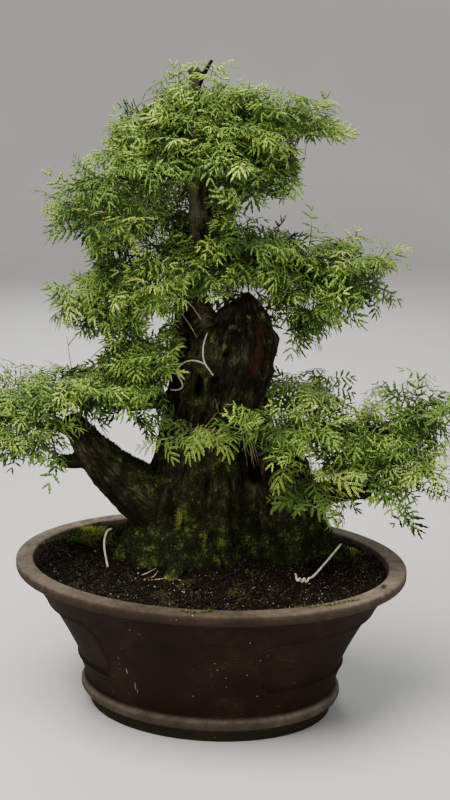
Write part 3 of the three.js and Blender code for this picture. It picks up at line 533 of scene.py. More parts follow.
def stoneware(tree, settings):
    """Unglazed stoneware, thrown and fired: matt, gritty and streaked, worn paler on the lip and the bead,
    and painted paler still on faces that point up as painted light.
    """
    place = node(tree, "TexCoord", output="Object")
    height = node(tree, "SeparateXYZ", {"Vector": place}, "Z")
    share = node(tree, "Math", {0: height, 1: POT_SIZE.z}, operation="DIVIDE")
    clouds = node(tree, "TexNoise", {"Vector": place, "Scale": 1 / 0.055, "Detail": 7, "Roughness": 0.62})
    flat = node(tree, "Mapping", {"Vector": place, "Scale": (1, 1, 11)})
    drag = node(tree, "TexNoise", {"Vector": flat, "Scale": 1 / 0.03, "Detail": 5, "Roughness": 0.7})
    grit = node(tree, "TexNoise", {"Vector": place, "Scale": 1 / 0.0016, "Detail": 3, "Roughness": 0.6})
    blots = node(tree, "TexNoise", {"Vector": place, "Scale": 1 / 0.018, "Detail": 8, "Roughness": 0.78})
    clays = [(0.32, settings.clay_dark), (0.52, settings.clay), (0.7, settings.clay_light)]
    body = node(tree, "ValToRGB", {"Fac": clouds}, stops=clays)
    colour = node(tree, "Mix", {0: 0.35, 6: body, 7: drag}, 2, data_type="RGBA", blend_type="OVERLAY")
    # Handling and water have worn the lip and the bead to a paler grey brown, in patches. The pale is painted
    # stronger on faces that point up, as painted light on the tops, and it is weaker towards the front
    bands = [(place_up, (wear_and_top_light, wear_and_top_light, wear_and_top_light, 1)) for place_up, wear_and_top_light in WEAR_UP_THE_POT]
    wear_and_top_light = node(tree, "ValToRGB", {"Fac": share}, stops=bands)
    patchy = {"Value": blots, "From Min": 0.34, "From Max": 0.62, "To Min": 0.35, "To Max": 1.0}
    facing = node(tree, "SeparateXYZ", {"Vector": node(tree, "NewGeometry", output="Normal")}, "Z")
    # Painted light: faces that point up take more of the pale colour, so the tops read as lit
    lit_top = {"Value": facing, "From Min": 0.1, "From Max": 0.7, "To Min": 0.42, "To Max": 1.0}
    depth = node(tree, "SeparateXYZ", {"Vector": place}, "Y")
    # The pale colour is made weaker towards the front of the pot, so the front is darker
    front, middle = POT_MIDDLE.y - POT_SIZE.y / 2, POT_MIDDLE.y - POT_SIZE.y / 6
    less_pale_in_front = {"Value": depth, "From Min": front, "From Max": middle, "To Min": 0.3, "To Max": 1.0}
    for part in (lit_top, less_pale_in_front, patchy):
        wear_and_top_light = node(tree, "Math", {0: wear_and_top_light, 1: node(tree, "MapRange", part)}, operation="MULTIPLY")
    colour = node(tree, "Mix", {0: wear_and_top_light, 6: colour, 7: settings.clay_worn}, 2, data_type="RGBA")
    # Scuffs along the wall, some 10 mm long, where the clay is lighter
    level = node(tree, "Mapping", {"Vector": place, "Scale": (1, 1, 8)})
    scuffs = node(tree, "TexNoise", {"Vector": level, "Scale": 1 / 0.009, "Detail": 6, "Roughness": 0.8})
    scuffed = {"Value": scuffs, "From Min": 0.585, "From Max": 0.68, "To Min": 0, "To Max": 0.6}
    scuffed = node(tree, "MapRange", scuffed)
    somewhere = node(tree, "MapRange", {"Value": clouds, "From Min": 0.5, "From Max": 0.6})
    scuff = node(tree, "Math", {0: scuffed, 1: somewhere}, operation="MULTIPLY")
    colour = node(tree, "Mix", {0: scuff, 6: colour, 7: settings.clay_scuffed}, 2, data_type="RGBA")
    # Lime specks of about a millimetre, here and there
    distance = node(tree, "TexVoronoi", {"Vector": place, "Scale": 1 / 0.0075}, feature="F1")
    chance = node(tree, "SeparateColor", {"Color": distance.node.outputs["Color"]}, "Red")
    within = node(tree, "MapRange", {"Value": distance, "From Min": 0.1, "From Max": 0.04})
    crowding = {"Value": clouds, "From Min": 0.45, "From Max": 0.62, "To Min": 0.96, "To Max": 0.5}
    crowding = node(tree, "MapRange", crowding)
    rare = node(tree, "Math", {0: chance, 1: crowding}, operation="GREATER_THAN")
    speck = node(tree, "Math", {0: within, 1: rare}, operation="MULTIPLY")
    colour = node(tree, "Mix", {0: speck, 6: colour, 7: settings.lime}, 2, data_type="RGBA")
    for x, y, z, half_width, half_height, mark_colour in POT_MARKS:
        centre = np.array((POT_MIDDLE.x / MM + x, POT_MIDDLE.y / MM + y, z)) * MM
        size = np.array((half_width, MARK_REACH, half_height)) * MM
        moved = {"Vector": place, "Location": tuple(-centre / size), "Scale": tuple(1 / size)}
        away = node(tree, "VectorMath", {0: node(tree, "Mapping", moved)}, "Value", operation="LENGTH")
        mark = {"Value": away, "From Min": 1.0, "From Max": 0.6, "To Min": 0, "To Max": 0.8}
        mark = node(tree, "MapRange", mark)
        colour = node(tree, "Mix", {0: mark, 6: colour, 7: linear(mark_colour)}, 2, data_type="RGBA")
    damp = {"Value": share, "From Min": 0.09, "From Max": 0.0, "To Min": 0, "To Max": 0.6}
    damp = node(tree, "MapRange", damp)
    colour = node(tree, "Mix", {0: damp, 6: colour, 7: settings.algae}, 2, data_type="RGBA")
    fine = node(tree, "Bump", {"Strength": 0.5, "Distance": 0.0003, "Height": grit})
    return {
        "Base Color": colour,
        "Roughness": node(tree, "MapRange", {"Value": drag, "To Min": 0.66, "To Max": 0.92}),
        "Normal": node(tree, "Bump", {"Strength": 0.5, "Distance": 0.0008, "Height": drag, "Normal": fine}),
        "Specular IOR Level": 0.1,
    }


def granular_soil(tree, settings):
    """Damp granular bonsai soil: crumbs from near black to umber, a few mossy and a few of pale grit."""
    shade = node(tree, "Attribute", output="Fac", attribute_name="shade")
    place = node(tree, "TexCoord", output="Object")
    grain = node(tree, "TexNoise", {"Vector": place, "Scale": 1 / 0.0012, "Detail": 3})
    tones = [(0.0, settings.soil_dark), (0.55, settings.soil), (0.88, settings.soil_light)]
    tones += [(MOSSY_SHADE - 0.005, settings.soil_moss), (0.93, settings.soil_light), (0.99, settings.pumice)]
    crumbs = node(tree, "ValToRGB", {"Fac": shade}, stops=tones)
    return {
        "Base Color": node(
            tree, "Mix", {0: 0.4, 6: crumbs, 7: grain}, 2, data_type="RGBA", blend_type="OVERLAY"
        ),
        "Roughness": 0.9,
        "Normal": node(tree, "Bump", {"Strength": 0.6, "Distance": 0.0005, "Height": grain}),
        "Specular IOR Level": 0.12,
    }


def old_bark(tree, settings):
    """Old living bark: dark in its furrows and grey brown on its ridges, partly its own colour and partly
    painted shade and painted highlight, mossy low down, red where peeled, near black in its hollows as
    painted shade.
    """
    place = node(tree, "TexCoord", output="Object")
    grain = node(tree, "Attribute", output="Vector", attribute_name="grain")
    coat_and_shade = node(tree, "Attribute", output="Color", attribute_name="coat_and_shade")
    moss_there = node(tree, "SeparateColor", {"Color": coat_and_shade}, "Red")
    peel_there, painted_shade_in_hollows = (moss_there.node.outputs[name] for name in ("Green", "Blue"))
    relief = node(tree, "Attribute", output="Fac", attribute_name="relief")
    drawn = node(tree, "Mapping", {"Vector": grain, "Scale": (1, 1, 0.3)})
    streaks = node(tree, "TexNoise", {"Vector": drawn, "Scale": 1 / 0.0042, "Detail": 7, "Roughness": 0.75})
    patches = node(tree, "TexNoise", {"Vector": place, "Scale": 1 / 0.022, "Detail": 5, "Roughness": 0.6})
    scales = node(tree, "TexNoise", {"Vector": drawn, "Scale": 1 / 0.0015, "Detail": 3, "Roughness": 0.6})
    rough = node(tree, "Math", {0: scales, 1: 0.5, 2: streaks}, operation="MULTIPLY_ADD")
    level = node(tree, "Math", {0: relief, 1: 0.7, 2: rough}, operation="MULTIPLY_ADD")
    level = node(tree, "Math", {0: level, 1: 0.6}, operation="MULTIPLY")
    # The colour follows the relief: near black where the bark is sunk, partly as painted shade in the
    # furrows, and pale on the ridges, partly as painted highlight
    barks = [(0.38, settings.furrow), (0.5, settings.bark_dark), (0.6, settings.bark)]
    barks.append((0.72, settings.bark_light))
    wood = node(tree, "ValToRGB", {"Fac": level}, stops=barks)
    wood = node(tree, "Mix", {0: 0.3, 6: wood, 7: patches}, 2, data_type="RGBA", blend_type="OVERLAY")
    tuft = node(tree, "TexNoise", {"Vector": place, "Scale": 1 / 0.0026, "Detail": 4, "Roughness": 0.75})
    cushions = node(tree, "TexNoise", {"Vector": place, "Scale": 1 / 0.014, "Detail": 6, "Roughness": 0.7})
    bright_there = coat_and_shade.node.outputs["Alpha"]
    fresh = node(tree, "Math", {0: bright_there, 1: 0.17, 2: cushions}, operation="MULTIPLY_ADD")
    tone = node(tree, "Math", {0: tuft, 1: 0.7, 2: fresh}, operation="MULTIPLY_ADD")
    mosses = [(0.72, settings.moss_dark), (0.92, settings.moss), (1.0, settings.moss_light)]
    moss = node(tree, "ValToRGB", {"Fac": tone}, stops=mosses)
    ragged = node(tree, "Math", {0: patches, 1: tuft}, operation="ADD")
    cover = node(tree, "Math", {0: ragged, 1: 0.55, 2: moss_there}, operation="MULTIPLY_ADD")
    cover = node(tree, "MapRange", {"Value": cover, "From Min": 0.78, "From Max": 1.15})
    peeled = node(tree, "ValToRGB", {"Fac": streaks}, stops=[(0.3, settings.peel_dark), (0.6, settings.peel)])
    # Moss, bare peeled wood, and near black inside the hollows as painted shade
    for share, over in ((cover, moss), (peel_there, peeled), (painted_shade_in_hollows, settings.hollow_and_shade)):
        wood = node(tree, "Mix", {0: share, 6: wood, 7: over}, 2, data_type="RGBA")
    ridged = node(tree, "Bump", {"Strength": 1.0, "Distance": 0.0026, "Height": rough})
    return {
        "Base Color": wood,
        "Roughness": 0.88,
        "Normal": node(tree, "Bump", {"Strength": 0.9, "Distance": 0.0012, "Height": tuft, "Normal": ridged}),
        "Specular IOR Level": 0.1,
    }


def moss_shoots(tree, settings):
    """Moss shoots: dark at the foot as painted shade, yellow green at the tip, brightest where the moss is
    fresh.
    """
    tone = node(tree, "Attribute", output="Fac", attribute_name="tone")
    greens = [(0.15, settings.moss_dark), (0.45, settings.moss), (0.7, settings.moss_light)]
    greens.append((1.0, settings.moss_fresh))
    green = node(tree, "ValToRGB", {"Fac": tone}, stops=greens)
    return {"Base Color": green, "Roughness": 0.8, "Specular IOR Level": 0.15}


def acacia_leaf(tree, settings):
    """Fresh green leaflets, semi-matt: light where they are young, lighter outside and on top as painted
    light, deep green within as painted shade.
    """
    tone = node(tree, "Attribute", output="Fac", attribute_name="tone")
    place = node(tree, "TexCoord", output="Object")
    drift = node(tree, "TexNoise", {"Vector": place, "Scale": 1 / 0.05, "Detail": 2})
    level = node(tree, "Math", {0: drift, 1: 0.5, 2: tone}, operation="MULTIPLY_ADD")
    greens = [(0.25, settings.leaf_deep_shade), (0.55, settings.leaf), (0.85, settings.leaf_young_and_lit)]
    greens.append((1.0, settings.leaf_tip))
    green = node(tree, "ValToRGB", {"Fac": level}, stops=greens)
    return {"Base Color": green, "Roughness": 0.55, "Specular IOR Level": 0.22}


def thin_twig(tree, dark, light):
    """Thin wood, brown with pale lenticels, or bleached where it is dead."""
    place = node(tree, "TexCoord", output="Object")
    flecks = node(tree, "TexNoise", {"Vector": place, "Scale": 1 / 0.003, "Detail": 3, "Roughness": 0.7})
    brown = node(tree, "ValToRGB", {"Fac": flecks}, stops=[(0.3, dark), (0.7, light)])
    bump = node(tree, "Bump", {"Strength": 0.4, "Distance": 0.0003, "Height": flecks})
    return {"Base Color": brown, "Roughness": 0.75, "Normal": bump}


def coated_wire(tree, settings):
    """Cream coated wire: smooth and satin, a little soiled by earth and algae."""
    place = node(tree, "TexCoord", output="Object")
    dirt = node(tree, "TexNoise", {"Vector": place, "Scale": 1 / 0.006, "Detail": 5, "Roughness": 0.7})
    cream = node(tree, "ValToRGB", {"Fac": dirt}, stops=[(0.3, settings.wire_soiled), (0.5, settings.wire)])
    rough = node(tree, "MapRange", {"Value": dirt, "To Min": 0.35, "To Max": 0.65})
    return {"Base Color": cream, "Roughness": rough}


def polyethylene_mesh(tree, settings):
    """Moulded polyethylene mesh, black and dusty with clay."""
    place = node(tree, "TexCoord", output="Object")
    dust = node(tree, "TexNoise", {"Vector": place, "Scale": 1 / 0.008, "Detail": 4})
    black = node(tree, "ValToRGB", {"Fac": dust}, stops=[(0.35, settings.mesh_black), (0.75, settings.clay)])
    return {"Base Color": black, "Roughness": 0.55}


def pale_floor(tree, settings):
    """A pale matt studio floor with the faintest mottling."""
    place = node(tree, "TexCoord", output="Object")
    mottle = node(tree, "TexNoise", {"Vector": place, "Scale": 1.5, "Detail": 3})
    pale = node(tree, "ValToRGB", {"Fac": mottle}, stops=[(0.3, settings.floor_shade), (0.7, settings.floor)])
    return {"Base Color": pale, "Roughness": 0.8}


# Settings


class PotSettings(bpy.types.PropertyGroup):
    """Sizes and colours of the pot."""

    length: FloatProperty(name="Length", description="Length of the lip", unit="LENGTH", default=POT_SIZE.x)
    width: FloatProperty(name="Width", description="Width of the lip", unit="LENGTH", default=POT_SIZE.y)
    panel_depth: FloatProperty(
        name="Panel depth", description="How far the end panels are sunk", unit="LENGTH", default=0.0026
    )
    panel_edge: FloatProperty(
        name="Panel edge", description="Width of the panels' sloping edge", unit="LENGTH", default=0.0026
    )
    clay: colour_setting("Clay", "The fired body", "#1d1209")
    clay_dark: colour_setting("Dark clay", "Darker clouds in the body", "#150c06")
    clay_light: colour_setting("Light clay", "Lighter clouds in the body", "#291b10")
    # The pale of the worn lip and bead, which the upward faces also take as painted light
    clay_worn: colour_setting("Worn clay", "The lip and the bead", "#84786a")
    clay_scuffed: colour_setting("Scuffed clay", "Scuffs along the wall", "#6b5948")
    lime: colour_setting("Lime", "Pale specks", "#b9b2a6")
    algae: colour_setting("Algae", "The damp foot", "#2b2f1c")
    mesh_black: colour_setting("Mesh", "The drain screens", "#1c1c1c")


class SoilSettings(bpy.types.PropertyGroup):
    """Sizes and colours of the soil."""

    mound: FloatProperty(name="Mound", description="Rise in the middle", unit="LENGTH", default=0.005)
    crumb: FloatProperty(name="Crumb", description="Mean size of a crumb", unit="LENGTH", default=0.0025)
    crumbs: IntProperty(name="Crumbs", description="How many crumbs lie on top", default=20000)
    soil: colour_setting("Soil", "Most crumbs", "#1c150e")
    soil_dark: colour_setting("Dark soil", "The darkest crumbs", "#0c0906")
    soil_light: colour_setting("Light soil", "The lightest crumbs", "#4a3d2c")
    soil_moss: colour_setting("Mossy soil", "Crumbs with moss on them", "#2b3016")
    pumice: colour_setting("Pumice", "Pale grit", "#a89c88")


class WoodSettings(bpy.types.PropertyGroup):
    """Sizes and colours of the wood, its moss and its thin dead twigs."""

    fineness: FloatProperty(name="Fineness", description="Side of a face", unit="LENGTH", default=0.0021)
    furrow_depth: FloatProperty(
        name="Furrow depth", description="Depth of the bark's furrows", unit="LENGTH", default=FURROW_DEPTH
    )
    hollow_depth: FloatProperty(
        name="Hollow depth", description="How deep the hollows go", unit="LENGTH", default=0.0075
    )
    tufts: IntProperty(name="Tufts", description="How many shoots of moss stand on the wood", default=15000)
    # Partly painted shade at the bottoms of the furrows
    furrow: colour_setting("Furrow", "The bottoms of the furrows", "#060502")
    bark_dark: colour_setting("Dark bark", "The sides of the furrows", "#1b190f")
    bark: colour_setting("Bark", "Most of the bark", "#302b1c")
    # Partly painted highlight on the ridges
    bark_light: colour_setting("Light bark", "The ridges", "#6d6850")
    moss: colour_setting("Moss", "Most moss", "#2b3317")
    moss_dark: colour_setting("Dark moss", "Moss in the shade", "#12170a")
    moss_light: colour_setting("Light moss", "Moss at its tips", "#626b35")
    moss_fresh: colour_setting("Fresh moss", "Bright clumps", "#a9bb40")
    peel: colour_setting("Peeled", "Bare red wood on the stub", "#4f2d22")
    peel_dark: colour_setting("Dark peel", "Streaks in the bare wood", "#1f120c")
    # Painted shade inside the hollows
    hollow_and_shade: colour_setting("Hollow", "Inside the hollows", "#060504")
    twig: colour_setting("Twig", "Young twigs", "#6a5a42")
    twig_dead: colour_setting("Dead twig", "Fibres, bare roots and dead twigs", "#c0b08c")
    twig_dark: colour_setting("Dark twig", "Flecks on the twigs", "#33291c")
    wire: colour_setting("Wire", "The wires' coating", "#d9d1b8")
    wire_soiled: colour_setting("Soiled wire", "Dirt on the wires", "#8f8763")


class LeafSettings(bpy.types.PropertyGroup):
    """Sizes and colours of the leaves."""

    shoots: IntProperty(name="Shoots", description="Shoots in a spray", default=26)
    spacing: FloatProperty(name="Spacing", description="From leaf to leaf", unit="LENGTH", default=0.0042)
    shortest: FloatProperty(name="Shortest", description="Shortest leaf", unit="LENGTH", default=0.018)
    longest: FloatProperty(name="Longest", description="Longest leaf", unit="LENGTH", default=0.030)
    leaf: colour_setting("Leaf", "Most leaves", "#68893d")
    # Painted shade: the leaves within the tree
    leaf_deep_shade: colour_setting("Deep leaf", "Leaves within the tree", "#233b18")
    # Partly painted light: the young leaves and those outside and on top
    leaf_young_and_lit: colour_setting("Young leaf", "Leaves outside", "#97b550")
    leaf_tip: colour_setting("Leaf tips", "The newest growth", "#c4dc6c")


class StageSettings(bpy.types.PropertyGroup):
    """The floor and the light."""

    radius: FloatProperty(name="Radius", description="Radius of the floor", unit="LENGTH", default=5.0)
    key_power: FloatProperty(name="Key light", description="The large light above", unit="POWER", default=120)
    fill_power: FloatProperty(name="Fill light", description="The light in front", unit="POWER", default=18)
    rim_power: FloatProperty(name="Back light", description="The light behind", unit="POWER", default=30)
    floor: colour_setting("Floor", "The floor", "#d9d8d5")
    floor_shade: colour_setting("Floor shade", "Its mottling", "#cfceca")
    sky: colour_setting("Sky", "The even light all round", "#d4d8dc")


# Pieces


class BONSAI_OT_pot(bpy.types.Operator):
    """Throws the oval pot, with its bead, its lip, its end panels and its drain holes"""

    bl_idname = "bonsai.pot"
    bl_label = "Pot"

    def execute(self, context):
        settings = context.scene.bonsai_pot
        half_length, half_width = settings.length / 2, settings.width / 2
        oval = half_width / half_length

        def around(half, height):
            return (half * MM, half * MM * oval, height * MM)

        def within(depth, height):
            return (half_length - depth * MM, half_width - depth * MM, height * MM)

        def wall(height):
            return WALL_FOOT + WALL_FLARE * max(0, (height - WALL_START) / WALL_RISE) ** WALL_CURVE

        foot_and_bead = (
            (125, 7), (127, 0), (141, 0), (143.5, 13), (146.6, 14.5), (150, 17), (152, 20.5), (151.6, 25),
            (149, 28.5), (146, 30.5), (145.2, 33),
        )
        heights = (36, 40, 46, 52, 58, 66, 74, 82, 92, 102, 112, 120, 128, 134, 140, 146, 152, 157, 160)
        lip = (
            (2.2, 160.8), (0.7, 162), (0, 164.6), (0.1, 170.8), (1.1, 172.7), (2.6, 173), (11, 172.3),
            (17.6, 172.8), (19.6, 172), (20.2, 169), (24, 157),
        )
        inside = ((wall(110) - 13, 110), (134, 44), (124, 20))
        rings = [around(half, height) for half, height in foot_and_bead]
        rings += [around(wall(height), height) for height in heights]
        rings += [within(depth, height) for depth, height in lip]
        rings += [around(half, height) for half, height in inside]
        pot = wheel_form("pot_body", rings, 128)

        def in_panel(middle, normal):
            x, y = middle.x - POT_MIDDLE.x, (middle.y - POT_MIDDLE.y) / oval
            outside = normal.x * x + normal.y * y > 0
            angle = math.degrees(math.atan2(abs(y), abs(x)))
            height = middle.z / MM
            notch = angle > NOTCH_REACH and not NOTCH_LOW < height < NOTCH_HIGH
            return outside and angle < PANEL_REACH and PANEL_LOW < height < PANEL_HIGH and not notch

        take(pot)
        bpy.ops.object.mode_set(mode="EDIT")
        pick(pot, in_panel)
        bpy.ops.mesh.inset(thickness=settings.panel_edge * 0.7, depth=0.0011)
        bpy.ops.mesh.inset(thickness=settings.panel_edge, depth=-settings.panel_depth - 0.0011)
        bpy.ops.object.mode_set(mode="OBJECT")
        for side in (-1, 1):
            deselect()
            place = (POT_MIDDLE.x + side * DRAIN_REACH, POT_MIDDLE.y, 0.0135)
            bpy.ops.mesh.primitive_cylinder_add(vertices=40, radius=DRAIN_RADIUS, depth=0.03, location=place)
            drill = bpy.context.object
            apply_modifier(pot, "BOOLEAN", operation="DIFFERENCE", object=drill, solver="EXACT")
            bpy.data.objects.remove(drill)
        apply_modifier(
            pot, "BEVEL", width=0.0011, segments=2, limit_method="ANGLE", angle_limit=math.radians(32)
        )
        points = coordinates(pot)
        out = points - np.array(POT_MIDDLE)
        out[:, 2] = 0
        out /= np.linalg.norm(out, axis=1, keepdims=True)
        # A wheel and hands never leave a wall quite even
        uneven = np.array([noise.noise(Vector(point) * 16) for point in points])
        on_wall = smooth_step(0.03, 0.06, points[:, 2]) * (1 - smooth_step(0.14, 0.16, points[:, 2]))
        set_coordinates(pot, points + out * (uneven * on_wall * 0.0007)[:, None])
        take(pot)
        bpy.ops.object.shade_smooth_by_angle(angle=math.radians(38))
        pot.data.materials.clear()
        pot.data.materials.append(material("unglazed_stoneware", stoneware, settings))
        hand_in(pot, "stoneware", "pot")
        return {"FINISHED"}


class BONSAI_OT_screens(bpy.types.Operator):
    """Gives the two drain screens their plastic"""

    bl_idname = "bonsai.screens"
    bl_label = "Drain screens"

    def execute(self, context):
        plastic = material("polyethylene_mesh", polyethylene_mesh, context.scene.bonsai_pot)
        for name in SCREENS:
            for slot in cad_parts[name].material_slots:
                slot.link = "OBJECT"
                slot.material = plastic
        return {"FINISHED"}


class BONSAI_OT_soil(bpy.types.Operator):
    """Fills the pot with soil, and strews crumbs and grit over it"""

    bl_idname = "bonsai.soil"
    bl_label = "Soil"

    def execute(self, context):
        settings = context.scene.bonsai_soil
        length, width = POT_SIZE.x / 2 - SOIL_INSET, POT_SIZE.y / 2 - SOIL_INSET

        def level(x, y):
            share = np.sqrt(((x - POT_MIDDLE.x) / length) ** 2 + ((y - POT_MIDDLE.y) / width) ** 2)
            return SOIL_TOP + settings.mound * (1 - smooth_step(0, 1, share))

        rings = [(0.1225, 0.0953, 0.0226), (0.1325, 0.1031, 0.044), (0.1655, 0.1287, 0.11)]
        rings += [(length - 0.002, width - 0.002, 0.157), (length, width, SOIL_TOP)]
        shares = (0.96, 0.9, 0.82, 0.72, 0.6, 0.46, 0.3, 0.14)
        rings += [(length * share, width * share, SOIL_TOP) for share in shares]
        soil = wheel_form("soil_bed", rings, 96)
        take(soil)
        bpy.ops.object.mode_set(mode="EDIT")
        pick(soil, lambda middle, normal: normal.z > 0.9 and middle.z > SOIL_TOP - 0.001)
        bpy.ops.mesh.subdivide(number_cuts=1)
        bpy.ops.object.mode_set(mode="OBJECT")
        apply_modifier(soil, "TRIANGULATE")
        points = coordinates(soil)
        top = points[:, 2] > SOIL_TOP - 0.0005
        inner = 1 - smooth_step(0.97, 1.0, np.hypot(
            (points[:, 0] - POT_MIDDLE.x) / length, (points[:, 1] - POT_MIDDLE.y) / width))
        lumps = np.array([noise.fractal(Vector(point) * 150, 1, 2, 4) for point in points])
        height = level(points[:, 0], points[:, 1]) + (lumps * 0.0012 - 0.0008) * inner
        points[:, 2] = np.where(top, height, points[:, 2])

        deselect()
        bpy.ops.mesh.primitive_cone_add(vertices=4, radius1=0.5, depth=0.5, end_fill_type="TRIFAN")
        crumb = bpy.context.object
        crumb_points = coordinates(crumb) + (0, 0, 0.25)
        crumb_points[np.abs(crumb_points).max(axis=1) < 0.01, 2] = -0.5
        crumb_faces = np.array([polygon.vertices[:] for polygon in crumb.data.polygons])
        bpy.data.objects.remove(crumb)

        random = np.random.default_rng(11)
        solid = surface_of("trunk", *WIRES)
        spots = []
        while len(spots) < settings.crumbs:
            x, y = random.uniform(-1, 1, 2)
            if x * x + y * y > 0.985:
                continue
            x, y = POT_MIDDLE.x + x * length, POT_MIDDLE.y + y * width
            place = Vector((x, y, float(level(x, y))))
            touch, normal, _, distance = solid.find_nearest(place, 0.02)
            if touch and (distance < CRUMB_CLEARANCE or (place - touch).dot(normal) < 0):
                continue
            spots.append(place)
        count = len(spots)
        pale = random.random(count) < 0.05
        mossy = np.array([noise.noise(spot * 45) for spot in spots]) + random.normal(0, 0.15, count) > 0.5
        size = settings.crumb * random.lognormal(0, 0.3, count) * np.where(pale, 0.55, 1)
        stretch = random.uniform(0.65, 1.25, (count, 1, 3))
        jitter = random.uniform(0.75, 1.25, (count, len(crumb_points), 1))
        shapes = crumb_points[None] * stretch * jitter * size[:, None, None]
        turns = random.normal(size=(count, 4))
        w, x, y, z = (turns / np.linalg.norm(turns, axis=1, keepdims=True)).T
        turn = np.array([
            [1 - 2 * (y * y + z * z), 2 * (x * y - w * z), 2 * (x * z + w * y)],
            [2 * (x * y + w * z), 1 - 2 * (x * x + z * z), 2 * (y * z - w * x)],
            [2 * (x * z - w * y), 2 * (y * z + w * x), 1 - 2 * (x * x + y * y)],
        ]).transpose(2, 0, 1)
        shapes = np.einsum("nij,nkj->nki", turn, shapes)
        shapes += np.array([spot[:] for spot in spots])[:, None]
        shapes[:, :, 2] += (size * random.uniform(-0.15, 0.3, count))[:, None]
        starts = np.arange(count)[:, None, None] * len(crumb_points)
        crumbs = (shapes.reshape(-1, 3), (crumb_faces[None] + starts).reshape(-1, 3))
        shade = random.beta(1.6, 2.2, count) * 0.9
        shade = np.where(pale, random.uniform(0.95, 1.0, count), np.where(mossy, MOSSY_SHADE, shade))

        bed_faces = np.array([polygon.vertices[:] for polygon in soil.data.polygons])
        bed_shade = np.clip(0.25 + 0.25 * lumps, 0, 0.8)
        all_points, all_faces = put_together([(points, bed_faces), crumbs])
        bpy.data.objects.remove(soil)
        finish = material("granular_soil", granular_soil, settings)
        piece = piece_from("soil_crumbs", all_points, all_faces, [finish])
        set_numbers(piece, "shade", np.concatenate([bed_shade, np.repeat(shade, len(crumb_points))]))
        hand_in(piece, "soil", "soil")
        return {"FINISHED"}


def wood_grain(points):
    """For each point: itself in the tree's frame, its place round and along the nearest line of the wood,
    that line's radius there, and which line it is.
    """
    local = tree_millimetres(points)
    nearest = np.full(len(points), np.inf)
    grain = np.zeros((len(points), 3))
    thickness = np.zeros(len(points))
    owner = np.zeros(len(points), int)
    for number, line in enumerate(WOOD_LINES):
        knots = curve_through(line, 12)
        middle, radius = knots[:, :3], knots[:, 3]
        along = np.gradient(middle, axis=0)
        step = np.linalg.norm(along, axis=1, keepdims=True)
        along /= step
        travelled = np.concatenate([[0], np.cumsum(np.linalg.norm(np.diff(middle, axis=0), axis=1))])
        main = middle[-1] - middle[0]
        main /= np.linalg.norm(main)
        first = np.cross(main, (0, 1, 0) if abs(main[1]) < 0.8 else (1, 0, 0))
        first /= np.linalg.norm(first)
        second = np.cross(main, first)
        mean = radius.mean()
        for start in range(0, len(points), 4000):
            part = slice(start, start + 4000)
            offset = local[part, None] - middle[None]
            distance = np.linalg.norm(offset, axis=2) - radius
            knot = distance.argmin(axis=1)
            row = np.arange(len(knot))
            gap = distance[row, knot]
            away = offset[row, knot]
            slide = (away * along[knot]).sum(axis=1)
            away = away - along[knot] * slide[:, None]
            away /= np.linalg.norm(away, axis=1, keepdims=True) + 1e-9
            better = gap < nearest[part]
            place = np.stack([away @ first * mean, away @ second * mean, travelled[knot] + slide], axis=1)
            nearest[part] = np.where(better, gap, nearest[part])
            grain[part] = np.where(better[:, None], place + number * 37.0, grain[part])
            thickness[part] = np.where(better, radius[knot], thickness[part])
            owner[part] = np.where(better, number, owner[part])
    return local, grain, thickness, owner


def evened(piece, passes, weight):
    """Smooths a piece's points towards their neighbours' middle without shrinking it."""
    points = coordinates(piece)
    edges = np.empty(len(piece.data.edges) * 2, np.int32)
    piece.data.edges.foreach_get("vertices", edges)
    one, other = edges.reshape(-1, 2).T
    count = np.bincount(one, minlength=len(points)) + np.bincount(other, minlength=len(points))
    for turn in range(passes):
        total = np.zeros_like(points)
        for axis in range(3):
            total[:, axis] = np.bincount(one, points[other, axis], len(points))
            total[:, axis] += np.bincount(other, points[one, axis], len(points))
        shift = total / count[:, None] - points
        points += shift * (0.62 if turn % 2 == 0 else -0.6) * weight[:, None]
    set_coordinates(piece, points)
    return points


def near(local, spots):
    """How much each point lies at any of some spots, given as x, y, z, radius and height over width."""
    most = np.zeros(len(local))
    for x, y, z, radius, tall in spots:
        offset = (local - (x, y, z)) / (radius, radius, radius * tall)
        most = np.maximum(most, 1 - smooth_step(0.2, 1.0, np.linalg.norm(offset, axis=1)))
    return most


